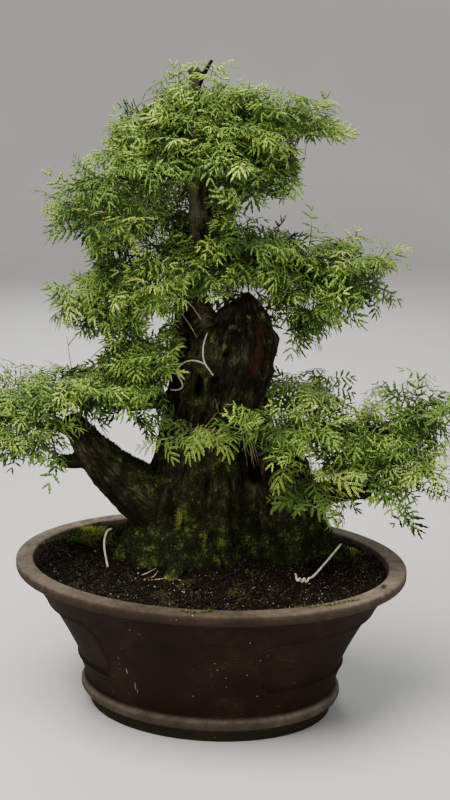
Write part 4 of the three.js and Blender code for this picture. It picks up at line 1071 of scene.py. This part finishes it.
class BONSAI_OT_wood(bpy.types.Operator):
    """Carves the bark of the roots, trunk, limbs and branches"""

    bl_idname = "bonsai.wood"
    bl_label = "Wood"

    def execute(self, context):
        settings = context.scene.bonsai_wood
        wood = cad_copy("wood_and_bark", "trunk")
        for line in SHOULDERS:
            knots = curve_through(line, 4)
            knots[:, :3] = [in_tree(*knot[:3])[:] for knot in knots]
            shoulder = piece_from("shoulder", *tube(knots[:, :3], knots[:, 3] * MM, 10), [])
            take(wood)
            shoulder.select_set(True)
            bpy.ops.object.join()
        for x, y, z, radius in KNOBS:
            deselect()
            place = in_tree(x, y, z)
            bpy.ops.mesh.primitive_ico_sphere_add(subdivisions=2, radius=radius * MM, location=place)
            wood.select_set(True)
            bpy.context.view_layer.objects.active = wood
            bpy.ops.object.join()
        apply_modifier(wood, "REMESH", mode="VOXEL", voxel_size=settings.fineness, adaptivity=0)
        points = coordinates(wood)
        local, grain, thickness, owner = wood_grain(points)
        points = evened(wood, EVENING_PASSES, smooth_step(2, 12, thickness) * 0.95 + 0.05)

        normals = point_normals(wood)
        folds = np.array([noise.noise(Vector((a / 21, b / 21, c / 130))) for a, b, c in grain])
        ridges = np.array([noise.noise(Vector((a / 8.5, b / 8.5, c / 70))) for a, b, c in grain])
        cracks = np.array([noise.noise(Vector((a / 4.4, b / 4.4, c / 26 + 9))) for a, b, c in grain])
        lumps = np.array([noise.noise(Vector(point) / 9 + Vector((3, 1, 2))) for point in local])
        burrs = np.array([noise.noise(Vector(point) / 23 + Vector((8, 4, 6))) for point in local])
        furrow = 1 - np.clip(np.abs(ridges) * 3.2, 0, 1)
        thick = smooth_step(3, 34, thickness) * 0.93 + 0.07
        depth = folds * 2.8 + burrs * 1.9 + lumps * 1.3 - furrow**1.5 * 1.5 + cracks * 0.9

        wires = KDTree(2000)
        number = 0
        for name in WIRES:
            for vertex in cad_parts[name].data.vertices:
                wires.insert(vertex.co, number)
                number += 1
        wires.balance()
        clear = smooth_step(0.003, 0.009, [wires.find(point)[2] for point in points])
        # The hollows are sunk into the wood and painted dark inside as painted shade
        hollow_and_shade = np.clip(near(local, HOLLOWS) * 2, 0, 1)
        shift = depth * MM * thick * clear * settings.furrow_depth / FURROW_DEPTH
        shift -= hollow_and_shade * settings.hollow_depth
        points = points + normals * shift[:, None]
        set_coordinates(wood, points)

        height = local[:, 2]
        facing = normals[:, 2]
        low = 1 - smooth_step(192, 292, height + burrs * 34)
        limb = np.isin(owner, LIMB_LINES) * (0.12 + 0.5 * np.clip(facing, 0, 1))
        root = np.isin(owner, ROOT_LINES) * (0.5 + 0.5 * np.clip(facing, 0, 1))
        stem = np.isin(owner, RIGHT_STEM_LINES) * (1 - smooth_step(230, 330, height)) * 0.3
        trunk = (owner == MAIN_LINE) * (1 - smooth_step(380, 450, height))
        trunk = trunk * (0.34 + folds * 0.4 + burrs * 0.25)
        moss = np.maximum.reduce([low * 0.62, limb, root, stem, trunk])
        moss = moss + (0.22 * facing + 0.12 * np.clip(depth, -2, 2)) * (moss > 0.08)
        bright = near(local, FRESH_MOSS) * np.clip(0.7 + 1.3 * cracks + 0.9 * lumps, 0, 1)
        moss = np.clip(moss + bright * 0.6, 0, 1)
        flecks = np.array([noise.noise(Vector(point) / 4.5 + Vector((2, 7, 5))) for point in local])
        peel = near(local, PEELED) + 0.3 * near(local, HALF_PEELED)
        peel = np.clip(peel * (1.3 + flecks * 3 + lumps * 2.5), 0, 1)
        scars = near(local, SCARS)
        # Moss, peeled bark, the painted shade of the hollows and fresh moss, one to a channel
        coat_and_shade = wood.data.attributes.new("coat_and_shade", "FLOAT_COLOR", "POINT")
        coat_and_shade.data.foreach_set("color", np.stack([moss, peel, hollow_and_shade, bright], 1).astype(np.float32).ravel())
        vector = wood.data.attributes.new("grain", "FLOAT_VECTOR", "POINT")
        vector.data.foreach_set("vector", (grain * MM).astype(np.float32).ravel())
        young = (owner == LEADER_LINE) * smooth_step(470, 520, height) * 0.3
        # The relief that colours the bark: darker where the surface is sunk, partly as painted shade, paler
        # on ridges, partly as painted highlight, and on scars
        relief = 0.34 + depth / 9 + young + scars * 0.4 - np.isin(owner, LIMB_LINES) * 0.07
        set_numbers(wood, "relief", np.clip(relief, 0, 1))
        wood.data.materials.clear()
        wood.data.materials.append(material("old_bark", old_bark, settings))
        take(wood)
        bpy.ops.object.shade_smooth()
        hand_in(wood, "bark", "trunk")
        return {"FINISHED"}


class BONSAI_OT_wires(bpy.types.Operator):
    """Rounds the anchor wires and the training wires, and coats them cream"""

    bl_idname = "bonsai.wires"
    bl_label = "Wires"

    def execute(self, context):
        coating = material("coated_wire", coated_wire, context.scene.bonsai_wood)
        for name in WIRES:
            wire = cad_copy(name + "_coated", name)
            bpy.ops.object.mode_set(mode="EDIT")
            bpy.ops.mesh.select_all(action="SELECT")
            bpy.ops.mesh.tris_convert_to_quads()
            bpy.ops.transform.shrink_fatten(value=0.00002)
            bpy.ops.object.mode_set(mode="OBJECT")
            apply_modifier(wire, "SUBSURF", levels=2, render_levels=2)
            take(wire)
            bpy.ops.object.shade_smooth()
            wire.data.materials.append(coating)
            hand_in(wire, "pale_wire", name)
        return {"FINISHED"}


class BONSAI_OT_moss(bpy.types.Operator):
    """Stands shoots of moss on the wood, the roots and the pot's lip"""

    bl_idname = "bonsai.moss"
    bl_label = "Moss"

    def execute(self, context):
        settings = context.scene.bonsai_wood
        wood = bpy.data.objects["wood_and_bark"]
        random = np.random.default_rng(21)
        points = coordinates(wood)
        normals = point_normals(wood)
        coat_and_shade = np.empty(len(points) * 4, np.float32)
        wood.data.attributes["coat_and_shade"].data.foreach_get("color", coat_and_shade)
        moss, _, hollow_and_shade, bright = coat_and_shade.reshape(-1, 4).T
        weight = (np.clip(moss - 0.3, 0, 1) ** 2 + 0.7 * bright) * smooth_step(-0.2, 0.5, normals[:, 2] + 0.3)
        weight *= (hollow_and_shade < 0.1) * (points[:, 2] > SOIL_TOP - 0.002)
        chosen = random.choice(len(points), settings.tufts, p=weight / weight.sum())
        feet = points[chosen]
        upright = normals[chosen] + (0, 0, 0.7)
        fresh = bright[chosen]
        for start, end in LIP_MOSS:
            share = random.random(LIP_TUFTS)[:, None]
            strip = np.array(start) + (np.array(end) - start) * share + random.normal(0, 1.3, (LIP_TUFTS, 2))
            strip[:, 1] -= LIP_BOW * np.sin(share[:, 0] * math.pi)
            feet = np.vstack([feet, [in_tree(x, y, LIP_TOP)[:] for x, y in strip]])
            upright = np.vstack([upright, np.tile((0, 0, 1), (LIP_TUFTS, 1))])
            fresh = np.concatenate([fresh, np.full(LIP_TUFTS, 0.25)])
        count = len(feet)
        upright = upright + random.normal(0, 0.45, (count, 3))
        upright /= np.linalg.norm(upright, axis=1, keepdims=True)
        across = np.cross(upright, random.normal(0, 1, (count, 3)))
        across /= np.linalg.norm(across, axis=1, keepdims=True)
        other = np.cross(upright, across)
        tall = (random.uniform(0.0012, 0.003, count) * (1 + 0.6 * fresh))[:, None]
        wide = random.uniform(0.0003, 0.0007, count)[:, None]
        low = feet - upright * 0.0005
        corners = [low + wide * (across * math.cos(turn) + other * math.sin(turn)) for turn in (0, 2.1, 4.2)]
        shoots = np.stack([*corners, feet + upright * tall], axis=1).reshape(-1, 3)
        faces = np.array([(0, 2, 1), (0, 1, 3), (1, 2, 3), (2, 0, 3)])
        faces = (faces[None] + np.arange(count)[:, None, None] * 4).reshape(-1, 3)
        piece = piece_from("moss_tufts", shoots, faces, [material("moss_shoots", moss_shoots, settings)])
        tone = np.clip(random.normal(0.34, 0.18, count) + 0.6 * fresh, 0, 1)
        tone = tone[:, None] + SHOOT_TONES
        set_numbers(piece, "tone", tone.ravel())
        hand_in(piece, "bark")
        return {"FINISHED"}


class BONSAI_OT_fibres(bpy.types.Operator):
    """Hangs dead fibres in the cleft, lays pale roots and twigs, and winds wire round a branch"""

    bl_idname = "bonsai.fibres"
    bl_label = "Fibres and loose wire"

    def execute(self, context):
        settings = context.scene.bonsai_wood
        pale = material("bleached_twig", thin_twig, settings.twig, settings.twig_dead)
        for name, lines in (("cleft_fibres", FIBRES), ("pale_roots_and_twigs", BARE_TWIGS)):
            shapes = []
            for *knots, half in lines:
                line = curve_through([(*knot, half) for knot in knots], 6)
                middle = np.array([in_tree(*knot[:3])[:] for knot in line])
                thick = np.interp(np.linspace(0, 1, len(line)), [0, 0.6, 1], [1, 0.9, 0.35]) * half * MM
                shapes.append(tube(middle, thick, 5))
            points, faces = put_together(shapes)
            hand_in(piece_from(name, points, faces, [pale]), "bark")
        shapes = []
        for number, start, end, turns in WIRE_TURNS:
            knots = curve_through(WOOD_LINES[number], 30)
            share = np.linspace(start, end, int(turns * 18))
            at = share * (len(knots) - 1)
            row = np.arange(len(knots))
            middle = np.stack([np.interp(at, row, knots[:, axis]) for axis in range(4)], axis=1)
            along = knots[-1, :3] - knots[0, :3]
            along /= np.linalg.norm(along)
            across = np.cross(along, (0, 0, 1))
            across /= np.linalg.norm(across)
            upright = np.cross(across, along)
            turn = (share - start) / (end - start) * turns * 2 * math.pi
            gap = middle[:, 3:] + 1.2
            ring = across * np.cos(turn)[:, None] + upright * np.sin(turn)[:, None]
            line = np.array([in_tree(*spot)[:] for spot in middle[:, :3] + ring * gap])
            shapes.append(tube(line, np.full(len(line), 0.0009), 8))
        points, faces = put_together(shapes)
        coating = material("coated_wire", coated_wire, settings)
        hand_in(piece_from("branch_wire_turns", points, faces, [coating]), "pale_wire")
        return {"FINISHED"}


# A leaflet's four corners: across, along as a share of the pitch, and up
LEAFLET = ((-0.19, 0.6, 0.03), (0.19, 0.6, 0.03), (0, 1.4, -0.03), (0, -0.8, 0))
FINE_LEAFLET = ((0.27, 1.0, 0.02), (0.01, 0.5, -0.02), (0.24, 0.45, -0.02), (0, -0.1, 0.02))
# A leaf's pairs of side leaves, its droop and its curl, for the far sprays and for those in front
LEAF_KINDS = ((3, 0.1, 0.1), (3, 0.3, 0.3), (4, 0.2, 0.15), (3, 0.05, 0.35), (4, 0.35, 0.3), (3, 0.2, 0.2))
FRONT_LEAF_KINDS = ((4, 0.1, 0.15), (4, 0.25, 0.3), (4, 0.4, 0.4))


def model_pinna(pairs, is_fine):
    """One side leaf of a leaf, 1 long: leaflets as thin closed lozenges, copied and resized along it."""
    deselect()
    bpy.ops.mesh.primitive_cone_add(vertices=3, radius1=0.1, radius2=0, depth=0.1)
    pinna = bpy.context.object
    pitch = 1 / (pairs + 0.3)
    for vertex, (x, y, z) in zip(pinna.data.vertices, FINE_LEAFLET if is_fine else LEAFLET):
        vertex.co = (x, (y + 0.45) * pitch, z)
    bpy.ops.object.mode_set(mode="EDIT")
    bpy.ops.mesh.select_all(action="SELECT")
    if is_fine:
        bpy.ops.mesh.duplicate()
        bpy.ops.transform.resize(value=(-1, 1, 1))
        bpy.ops.mesh.select_all(action="SELECT")
    sizes = np.interp(np.linspace(0, 1, pairs), [0, 0.25, 0.6, 0.85, 1], [0.72, 1, 1, 0.84, 0.62])
    bpy.ops.transform.resize(value=(sizes[0], 1, 1))
    for size, following in zip(sizes, sizes[1:]):
        bpy.ops.mesh.duplicate_move(TRANSFORM_OT_translate={"value": (0, pitch, 0)})
        bpy.ops.transform.resize(value=(following / size, 1, 1))
    bpy.ops.mesh.select_all(action="SELECT")
    bpy.ops.mesh.normals_make_consistent(inside=False)
    bpy.ops.object.mode_set(mode="OBJECT")
    points = coordinates(pinna)
    faces = np.array([polygon.vertices[:] for polygon in pinna.data.polygons])
    bpy.data.objects.remove(pinna)
    return points, faces


def whole_leaf(pinna, pairs, droop, curl, random):
    """A twice-feathered leaf, 1 long: pairs of pinnae along a thin stalk, which droops."""
    points, faces = pinna
    shapes = []
    for share in np.linspace(0, 1, pairs):
        along = 0.2 + 0.66 * share
        size = float(np.interp(share, [0, 0.35, 0.7, 1], [0.33, 0.43, 0.42, 0.33]))
        angle = float(np.interp(share, [0, 0.5, 1], [74, 58, 26]))
        for side in (-1, 1):
            turn = math.radians(-side * (angle + random.uniform(-8, 8)))
            x, y, z = (points * size * random.uniform(0.88, 1.1)).T
            z = z - curl * y * y / size
            cos, sin = math.cos(turn), math.sin(turn)
            placed = np.stack([x * cos - y * sin, x * sin + y * cos, z], axis=1)
            shapes.append((placed + (0, along + random.uniform(-0.02, 0.02), 0), faces))
    stalk = np.array([(-0.016, 0, 0), (0.016, 0, 0), (0, 0.45, -0.012), (0, 0.9, 0)])
    shapes.append((stalk, np.array([(0, 2, 1), (0, 1, 3), (1, 2, 3), (2, 0, 3)])))
    points, faces = put_together(shapes)
    points[:, 2] -= droop * points[:, 1] ** 2
    return points, faces


def samples_on(mesh, count, random):
    """Points spread evenly by area over a mesh of triangles."""
    corners = np.array([[mesh.vertices[i].co[:] for i in polygon.vertices] for polygon in mesh.polygons])
    area = np.linalg.norm(np.cross(corners[:, 1] - corners[:, 0], corners[:, 2] - corners[:, 0]), axis=1)
    chosen = random.choice(len(corners), count, p=area / area.sum())
    u, v = random.random((2, count, 1))
    u, v = np.where(u + v > 1, 1 - u, u), np.where(u + v > 1, 1 - v, v)
    a, b, c = corners[chosen].transpose(1, 0, 2)
    return a + (b - a) * u + (c - a) * v


def spread_out(points, count, first):
    """Picks points one by one, each as far as can be from those picked already."""
    distance = np.linalg.norm(points - first, axis=1)
    picked = []
    for _ in range(count):
        pick_next = int(distance.argmax())
        picked.append(pick_next)
        distance = np.minimum(distance, np.linalg.norm(points - points[pick_next], axis=1))
    return picked


def arch(start, end, rise, steps):
    """A line from start to end that arches up by a share of its length."""
    t = np.linspace(0, 1, steps + 1)[:, None]
    middle = (start + end) / 2 + np.array((0, 0, rise * np.linalg.norm(end - start)))
    return (1 - t) ** 2 * start + 2 * t * (1 - t) * middle + t**2 * end


def in_opening(points):
    """Which points lie in the air between the tiers, as seen from the tree's front."""
    local = tree_millimetres(points)
    open_air = np.zeros(len(local), bool)
    for low_x, high_x, low_z, high_z, nearest, furthest in OPENINGS:
        low, high = (low_x, nearest, low_z), (high_x, furthest, high_z)
        open_air |= ((local > low) & (local < high)).all(axis=1)
    return open_air


def spray_cloud(name, shells, hubs, random):
    """Where a spray's shoots may end: on its solid, within it, and halfway to the sprays beside it."""
    shell = shells[name]
    across = shell[random.permutation(len(shell))]
    clouds = [shell, shell + (across - shell) * random.random((len(shell), 1))]
    for other, hub in hubs.items():
        gap = np.linalg.norm(hub - hubs[name])
        if other != name and gap < NEIGHBOURS and not {name, other} & set(FRONT_SPRAYS):
            count = len(shell) // 4
            theirs = shells[other][random.choice(len(shells[other]), count)]
            ours = shell[random.choice(len(shell), count)]
            clouds.append(ours + (theirs - ours) * random.uniform(0.1, 0.55, (count, 1)))
    cloud = np.vstack(clouds)
    return cloud[~in_opening(cloud)]


class BONSAI_OT_foliage(bpy.types.Operator):
    """Grows each spray over its solid: shoots out from its twig, and twice-feathered leaves along them"""

    bl_idname = "bonsai.foliage"
    bl_label = "Foliage"

    def execute(self, context):
        settings = context.scene.bonsai_leaf
        random = np.random.default_rng(5)
        small = model_pinna(3, False)
        kinds = [whole_leaf(small, *kind, random) for kind in LEAF_KINDS]
        large = model_pinna(7, True)
        fine = [whole_leaf(large, *kind, random) for kind in FRONT_LEAF_KINDS]
        shells, hubs = {}, {}
        for name in SPRAYS:
            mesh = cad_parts[name].data
            shells[name] = samples_on(mesh, SHELL_SAMPLES, random)
            corners = np.unique(np.round([vertex.co[:] for vertex in mesh.vertices], 6), axis=0)
            hubs[name] = np.median(corners, axis=0)
        wood = surface_of("trunk")
        wood_settings = context.scene.bonsai_wood
        twigs = material("young_twig", thin_twig, wood_settings.twig_dark, wood_settings.twig)
        materials = material("acacia_leaf", acacia_leaf, settings), twigs
        for order, name in enumerate(SPRAYS):
            random = np.random.default_rng(100 + order)
            cloud = spray_cloud(name, shells, hubs, random)
            its_kinds = fine if name in FRONT_SPRAYS else kinds
            self.grow(name, its_kinds, cloud, hubs[name], wood, materials, settings, random)
        return {"FINISHED"}

    def grow(self, name, kinds, cloud, hub, wood, materials, settings, random):
        """One spray: a bough to its middle, shoots to the far points of its cloud, and leaves along both."""
        is_front = name in FRONT_SPRAYS
        corners = [vertex.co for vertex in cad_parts[name].data.vertices]
        foot = min(corners, key=lambda point: wood.find_nearest(point)[3])
        root = np.array(wood.find_nearest(foot)[0])
        foot = np.array(foot)
        bough = arch(root - (foot - root), hub, 0.08, 8)
        lines = [(bough, *BOUGH_RADII)]
        grown = bough
        shoots = FRONT_SPRAYS.get(name, settings.shoots)
        tips = cloud[spread_out(cloud, shoots, hub)]
        reaches = REACHES.get(name, ())
        if reaches:
            tips = np.vstack([tips, [in_tree(*spot)[:] for spot in reaches]])
        for tip in sorted(tips, key=lambda tip: np.linalg.norm(tip - hub)):
            cost = np.linalg.norm(grown - tip, axis=1) + 0.4 * np.linalg.norm(grown - hub, axis=1)
            start = grown[int(cost.argmin())]
            if np.linalg.norm(tip - start) < SHORTEST_SHOOT:
                continue
            shoot = arch(start, start + (tip - start) * 0.92, random.uniform(0.02, 0.16), 4)
            lines.append((shoot, *SHOOT_RADII))
            grown = np.vstack([grown, shoot])

        shapes, tones = [], []
        reach = np.linalg.norm(cloud - hub, axis=1).max()
        up = np.array((0, 0, 1.0))
        for line, _, _ in lines:
            length = np.linalg.norm(np.diff(line, axis=0), axis=1).sum()
            spacing = settings.spacing * (2.2 if is_front else 1)
            count = int(np.clip(round(length / spacing), 3, 13))
            shade, tilt = random.normal(0, 0.12), random.normal(0, 0.36, 3)
            for number in range(count):
                share = (number + 0.8) / count
                if line is bough and share < 0.4:
                    continue
                at = min(share, 1) * (len(line) - 1)
                step = min(int(at), len(line) - 2)
                base = line[step] + (line[step + 1] - line[step]) * (at - step)
                forward = line[step + 1] - line[step]
                forward /= np.linalg.norm(forward)
                outward = (base - hub) / (np.linalg.norm(base - hub) + 1e-6)
                side = np.cross(forward, up + random.normal(0, 0.35, 3))
                side *= (-1) ** number / np.linalg.norm(side)
                spread = math.radians(random.uniform(42, 74) * (1 - 0.8 * (share > 0.97)))
                along = forward * math.cos(spread) + side * math.sin(spread)
                along += 0.25 * outward + random.normal(0, 0.13, 3) - (0, 0, 0.1)
                along /= np.linalg.norm(along)
                size = random.uniform(settings.shortest, settings.longest) * (1.12 if is_front else 1)
                if wood.find_nearest(Vector(base + along * size * 0.7))[3] < LEAF_CLEARANCE:
                    along = along - 1.6 * along.dot(side) * side
                    along /= np.linalg.norm(along)
                face = 0.55 * up + 0.5 * outward + tilt + random.normal(0, 0.16, 3)
                across = np.cross(along, face)
                across /= np.linalg.norm(across)
                face = np.cross(across, along)
                points, faces = kinds[random.integers(len(kinds))]
                placed = base + size * (points @ np.stack([across, along, face]))
                placed -= np.maximum(placed.max(axis=0) - np.array(CAD_BOX[1]) + BOX_MARGIN, 0)
                placed += np.maximum(np.array(CAD_BOX[0]) + BOX_MARGIN - placed.min(axis=0), 0)
                if in_opening([base, base + along * size * 0.5, base + along * size]).any():
                    continue
                shapes.append((placed, faces))
                # A leaf's tone: lighter further out and on top of its spray as painted light, darker within
                # as painted shade, lighter in the sprays nearest the eye, varied at random, and lighter
                # towards its tip
                out_share = np.linalg.norm(base - hub) / reach
                tone = 0.1 + 0.1 * is_front + 0.34 * out_share + 0.26 * max(outward[2], -0.5)
                tone += shade + random.normal(0, 0.1)
                tones.append(tone + 0.14 * np.clip(points[:, 1], 0, 1))
        leaf_points, leaf_faces = put_together(shapes)
        stem_points, stem_faces = put_together(
            [tube(line, np.linspace(thick, thin, len(line)), 3) for line, thick, thin in lines]
        )
        points, faces = put_together([(leaf_points, leaf_faces), (stem_points, stem_faces)])
        slots = np.concatenate([np.zeros(len(leaf_faces)), np.ones(len(stem_faces))])
        piece = piece_from(name.replace("spray_", "leaves_"), points, faces, materials, slots)
        set_numbers(piece, "tone", np.concatenate([*tones, np.zeros(len(stem_points))]))
        hand_in(piece, "foliage", name)


class BONSAI_OT_stage(bpy.types.Operator):
    """Sets the pale floor, the soft lights and the camera at the photograph's angle"""

    bl_idname = "bonsai.stage"
    bl_label = "Stage"

    def execute(self, context):
        settings = context.scene.bonsai_stage
        deselect()
        bpy.ops.mesh.primitive_circle_add(vertices=128, radius=settings.radius * 0.6, fill_type="NGON")
        floor = bpy.context.object
        floor.name = "floor"
        bpy.ops.object.mode_set(mode="EDIT")
        bpy.ops.mesh.extrude_region_move(TRANSFORM_OT_translate={"value": (0, 0, 0)})
        bpy.ops.transform.resize(value=(1 / 0.6, 1 / 0.6, 1))
        bpy.ops.mesh.extrude_region_move(TRANSFORM_OT_translate={"value": (0, 0, 3.2)})
        bpy.ops.mesh.delete(type="ONLY_FACE")
        bpy.ops.object.mode_set(mode="OBJECT")
        sharp = math.radians(40)
        apply_modifier(floor, "BEVEL", width=1.6, segments=12, limit_method="ANGLE", angle_limit=sharp)
        take(floor)
        bpy.ops.object.shade_smooth()
        floor.data.materials.append(material("pale_floor", pale_floor, settings))

        def area_light(name, place, size, power, colour):
            light = bpy.data.lights.new(name, "AREA")
            light.shape, light.size, light.energy = "DISK", size, power
            light.color = linear(colour)[:3]
            lamp = bpy.data.objects.new(name, light)
            context.collection.objects.link(lamp)
            lamp.location = place
            lamp.rotation_euler = (Vector((0, 0, 0.38)) - Vector(place)).to_track_quat("-Z", "Y").to_euler()
            lamp.visible_camera = False

        area_light("key_light", (-0.35, -0.75, 2.5), 2.0, settings.key_power, "#fffaf2")
        area_light("fill_light", (1.3, -2.2, 1.1), 1.8, settings.fill_power, "#f6f8ff")
        area_light("back_light", (-1.0, 2.2, 1.7), 1.6, settings.rim_power, "#ffffff")
        world = bpy.data.worlds.new("studio")
        context.scene.world = world
        world.use_nodes = True
        world.node_tree.nodes["Background"].inputs["Color"].default_value = settings.sky
        world.node_tree.nodes["Background"].inputs["Strength"].default_value = SKY_STRENGTH

        lens = bpy.data.cameras.new("photo_camera")
        lens.sensor_width, lens.lens = SENSOR, LENS
        camera = bpy.data.objects.new("photo_camera", lens)
        context.collection.objects.link(camera)
        camera.location = TREE_FRAME @ Vector(CAMERA_PLACE)
        camera.rotation_euler = (CAMERA_TILT, 0, CAMERA_TURN + TREE_TURN)
        context.scene.camera = camera
        return {"FINISHED"}


OPERATORS = (
    BONSAI_OT_stage,
    BONSAI_OT_pot,
    BONSAI_OT_screens,
    BONSAI_OT_soil,
    BONSAI_OT_wood,
    BONSAI_OT_moss,
    BONSAI_OT_fibres,
    BONSAI_OT_wires,
    BONSAI_OT_foliage,
)
GROUPS = {
    "bonsai_pot": PotSettings,
    "bonsai_soil": SoilSettings,
    "bonsai_wood": WoodSettings,
    "bonsai_leaf": LeafSettings,
    "bonsai_stage": StageSettings,
}


class BONSAI_PT_pieces(bpy.types.Panel):
    """Lists the pieces' operators and settings"""

    bl_idname = "BONSAI_PT_pieces"
    bl_label = "Potted bonsai"
    bl_space_type = "VIEW_3D"
    bl_region_type = "UI"
    bl_category = "Bonsai"

    def draw(self, context):
        for operator in OPERATORS:
            self.layout.operator(operator.bl_idname)
        for name, group in GROUPS.items():
            box = self.layout.box()
            for setting in group.__annotations__:
                box.prop(getattr(context.scene, name), setting)


def register():
    """Registers the settings, the operators and the panel."""
    for group in GROUPS.values():
        bpy.utils.register_class(group)
    for operator in (*OPERATORS, BONSAI_PT_pieces):
        bpy.utils.register_class(operator)
    for name, group in GROUPS.items():
        setattr(bpy.types.Scene, name, PointerProperty(type=group))


def unregister():
    """Takes them out again."""
    for name in GROUPS:
        delattr(bpy.types.Scene, name)
    for kind in (BONSAI_PT_pieces, *reversed(OPERATORS), *GROUPS.values()):
        bpy.utils.unregister_class(kind)


def main():
    """Makes the whole bonsai."""
    register()
    for operator in OPERATORS:
        group, name = operator.bl_idname.split(".")
        getattr(getattr(bpy.ops, group), name)()
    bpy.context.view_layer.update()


if __name__ == "__main__":
    main()
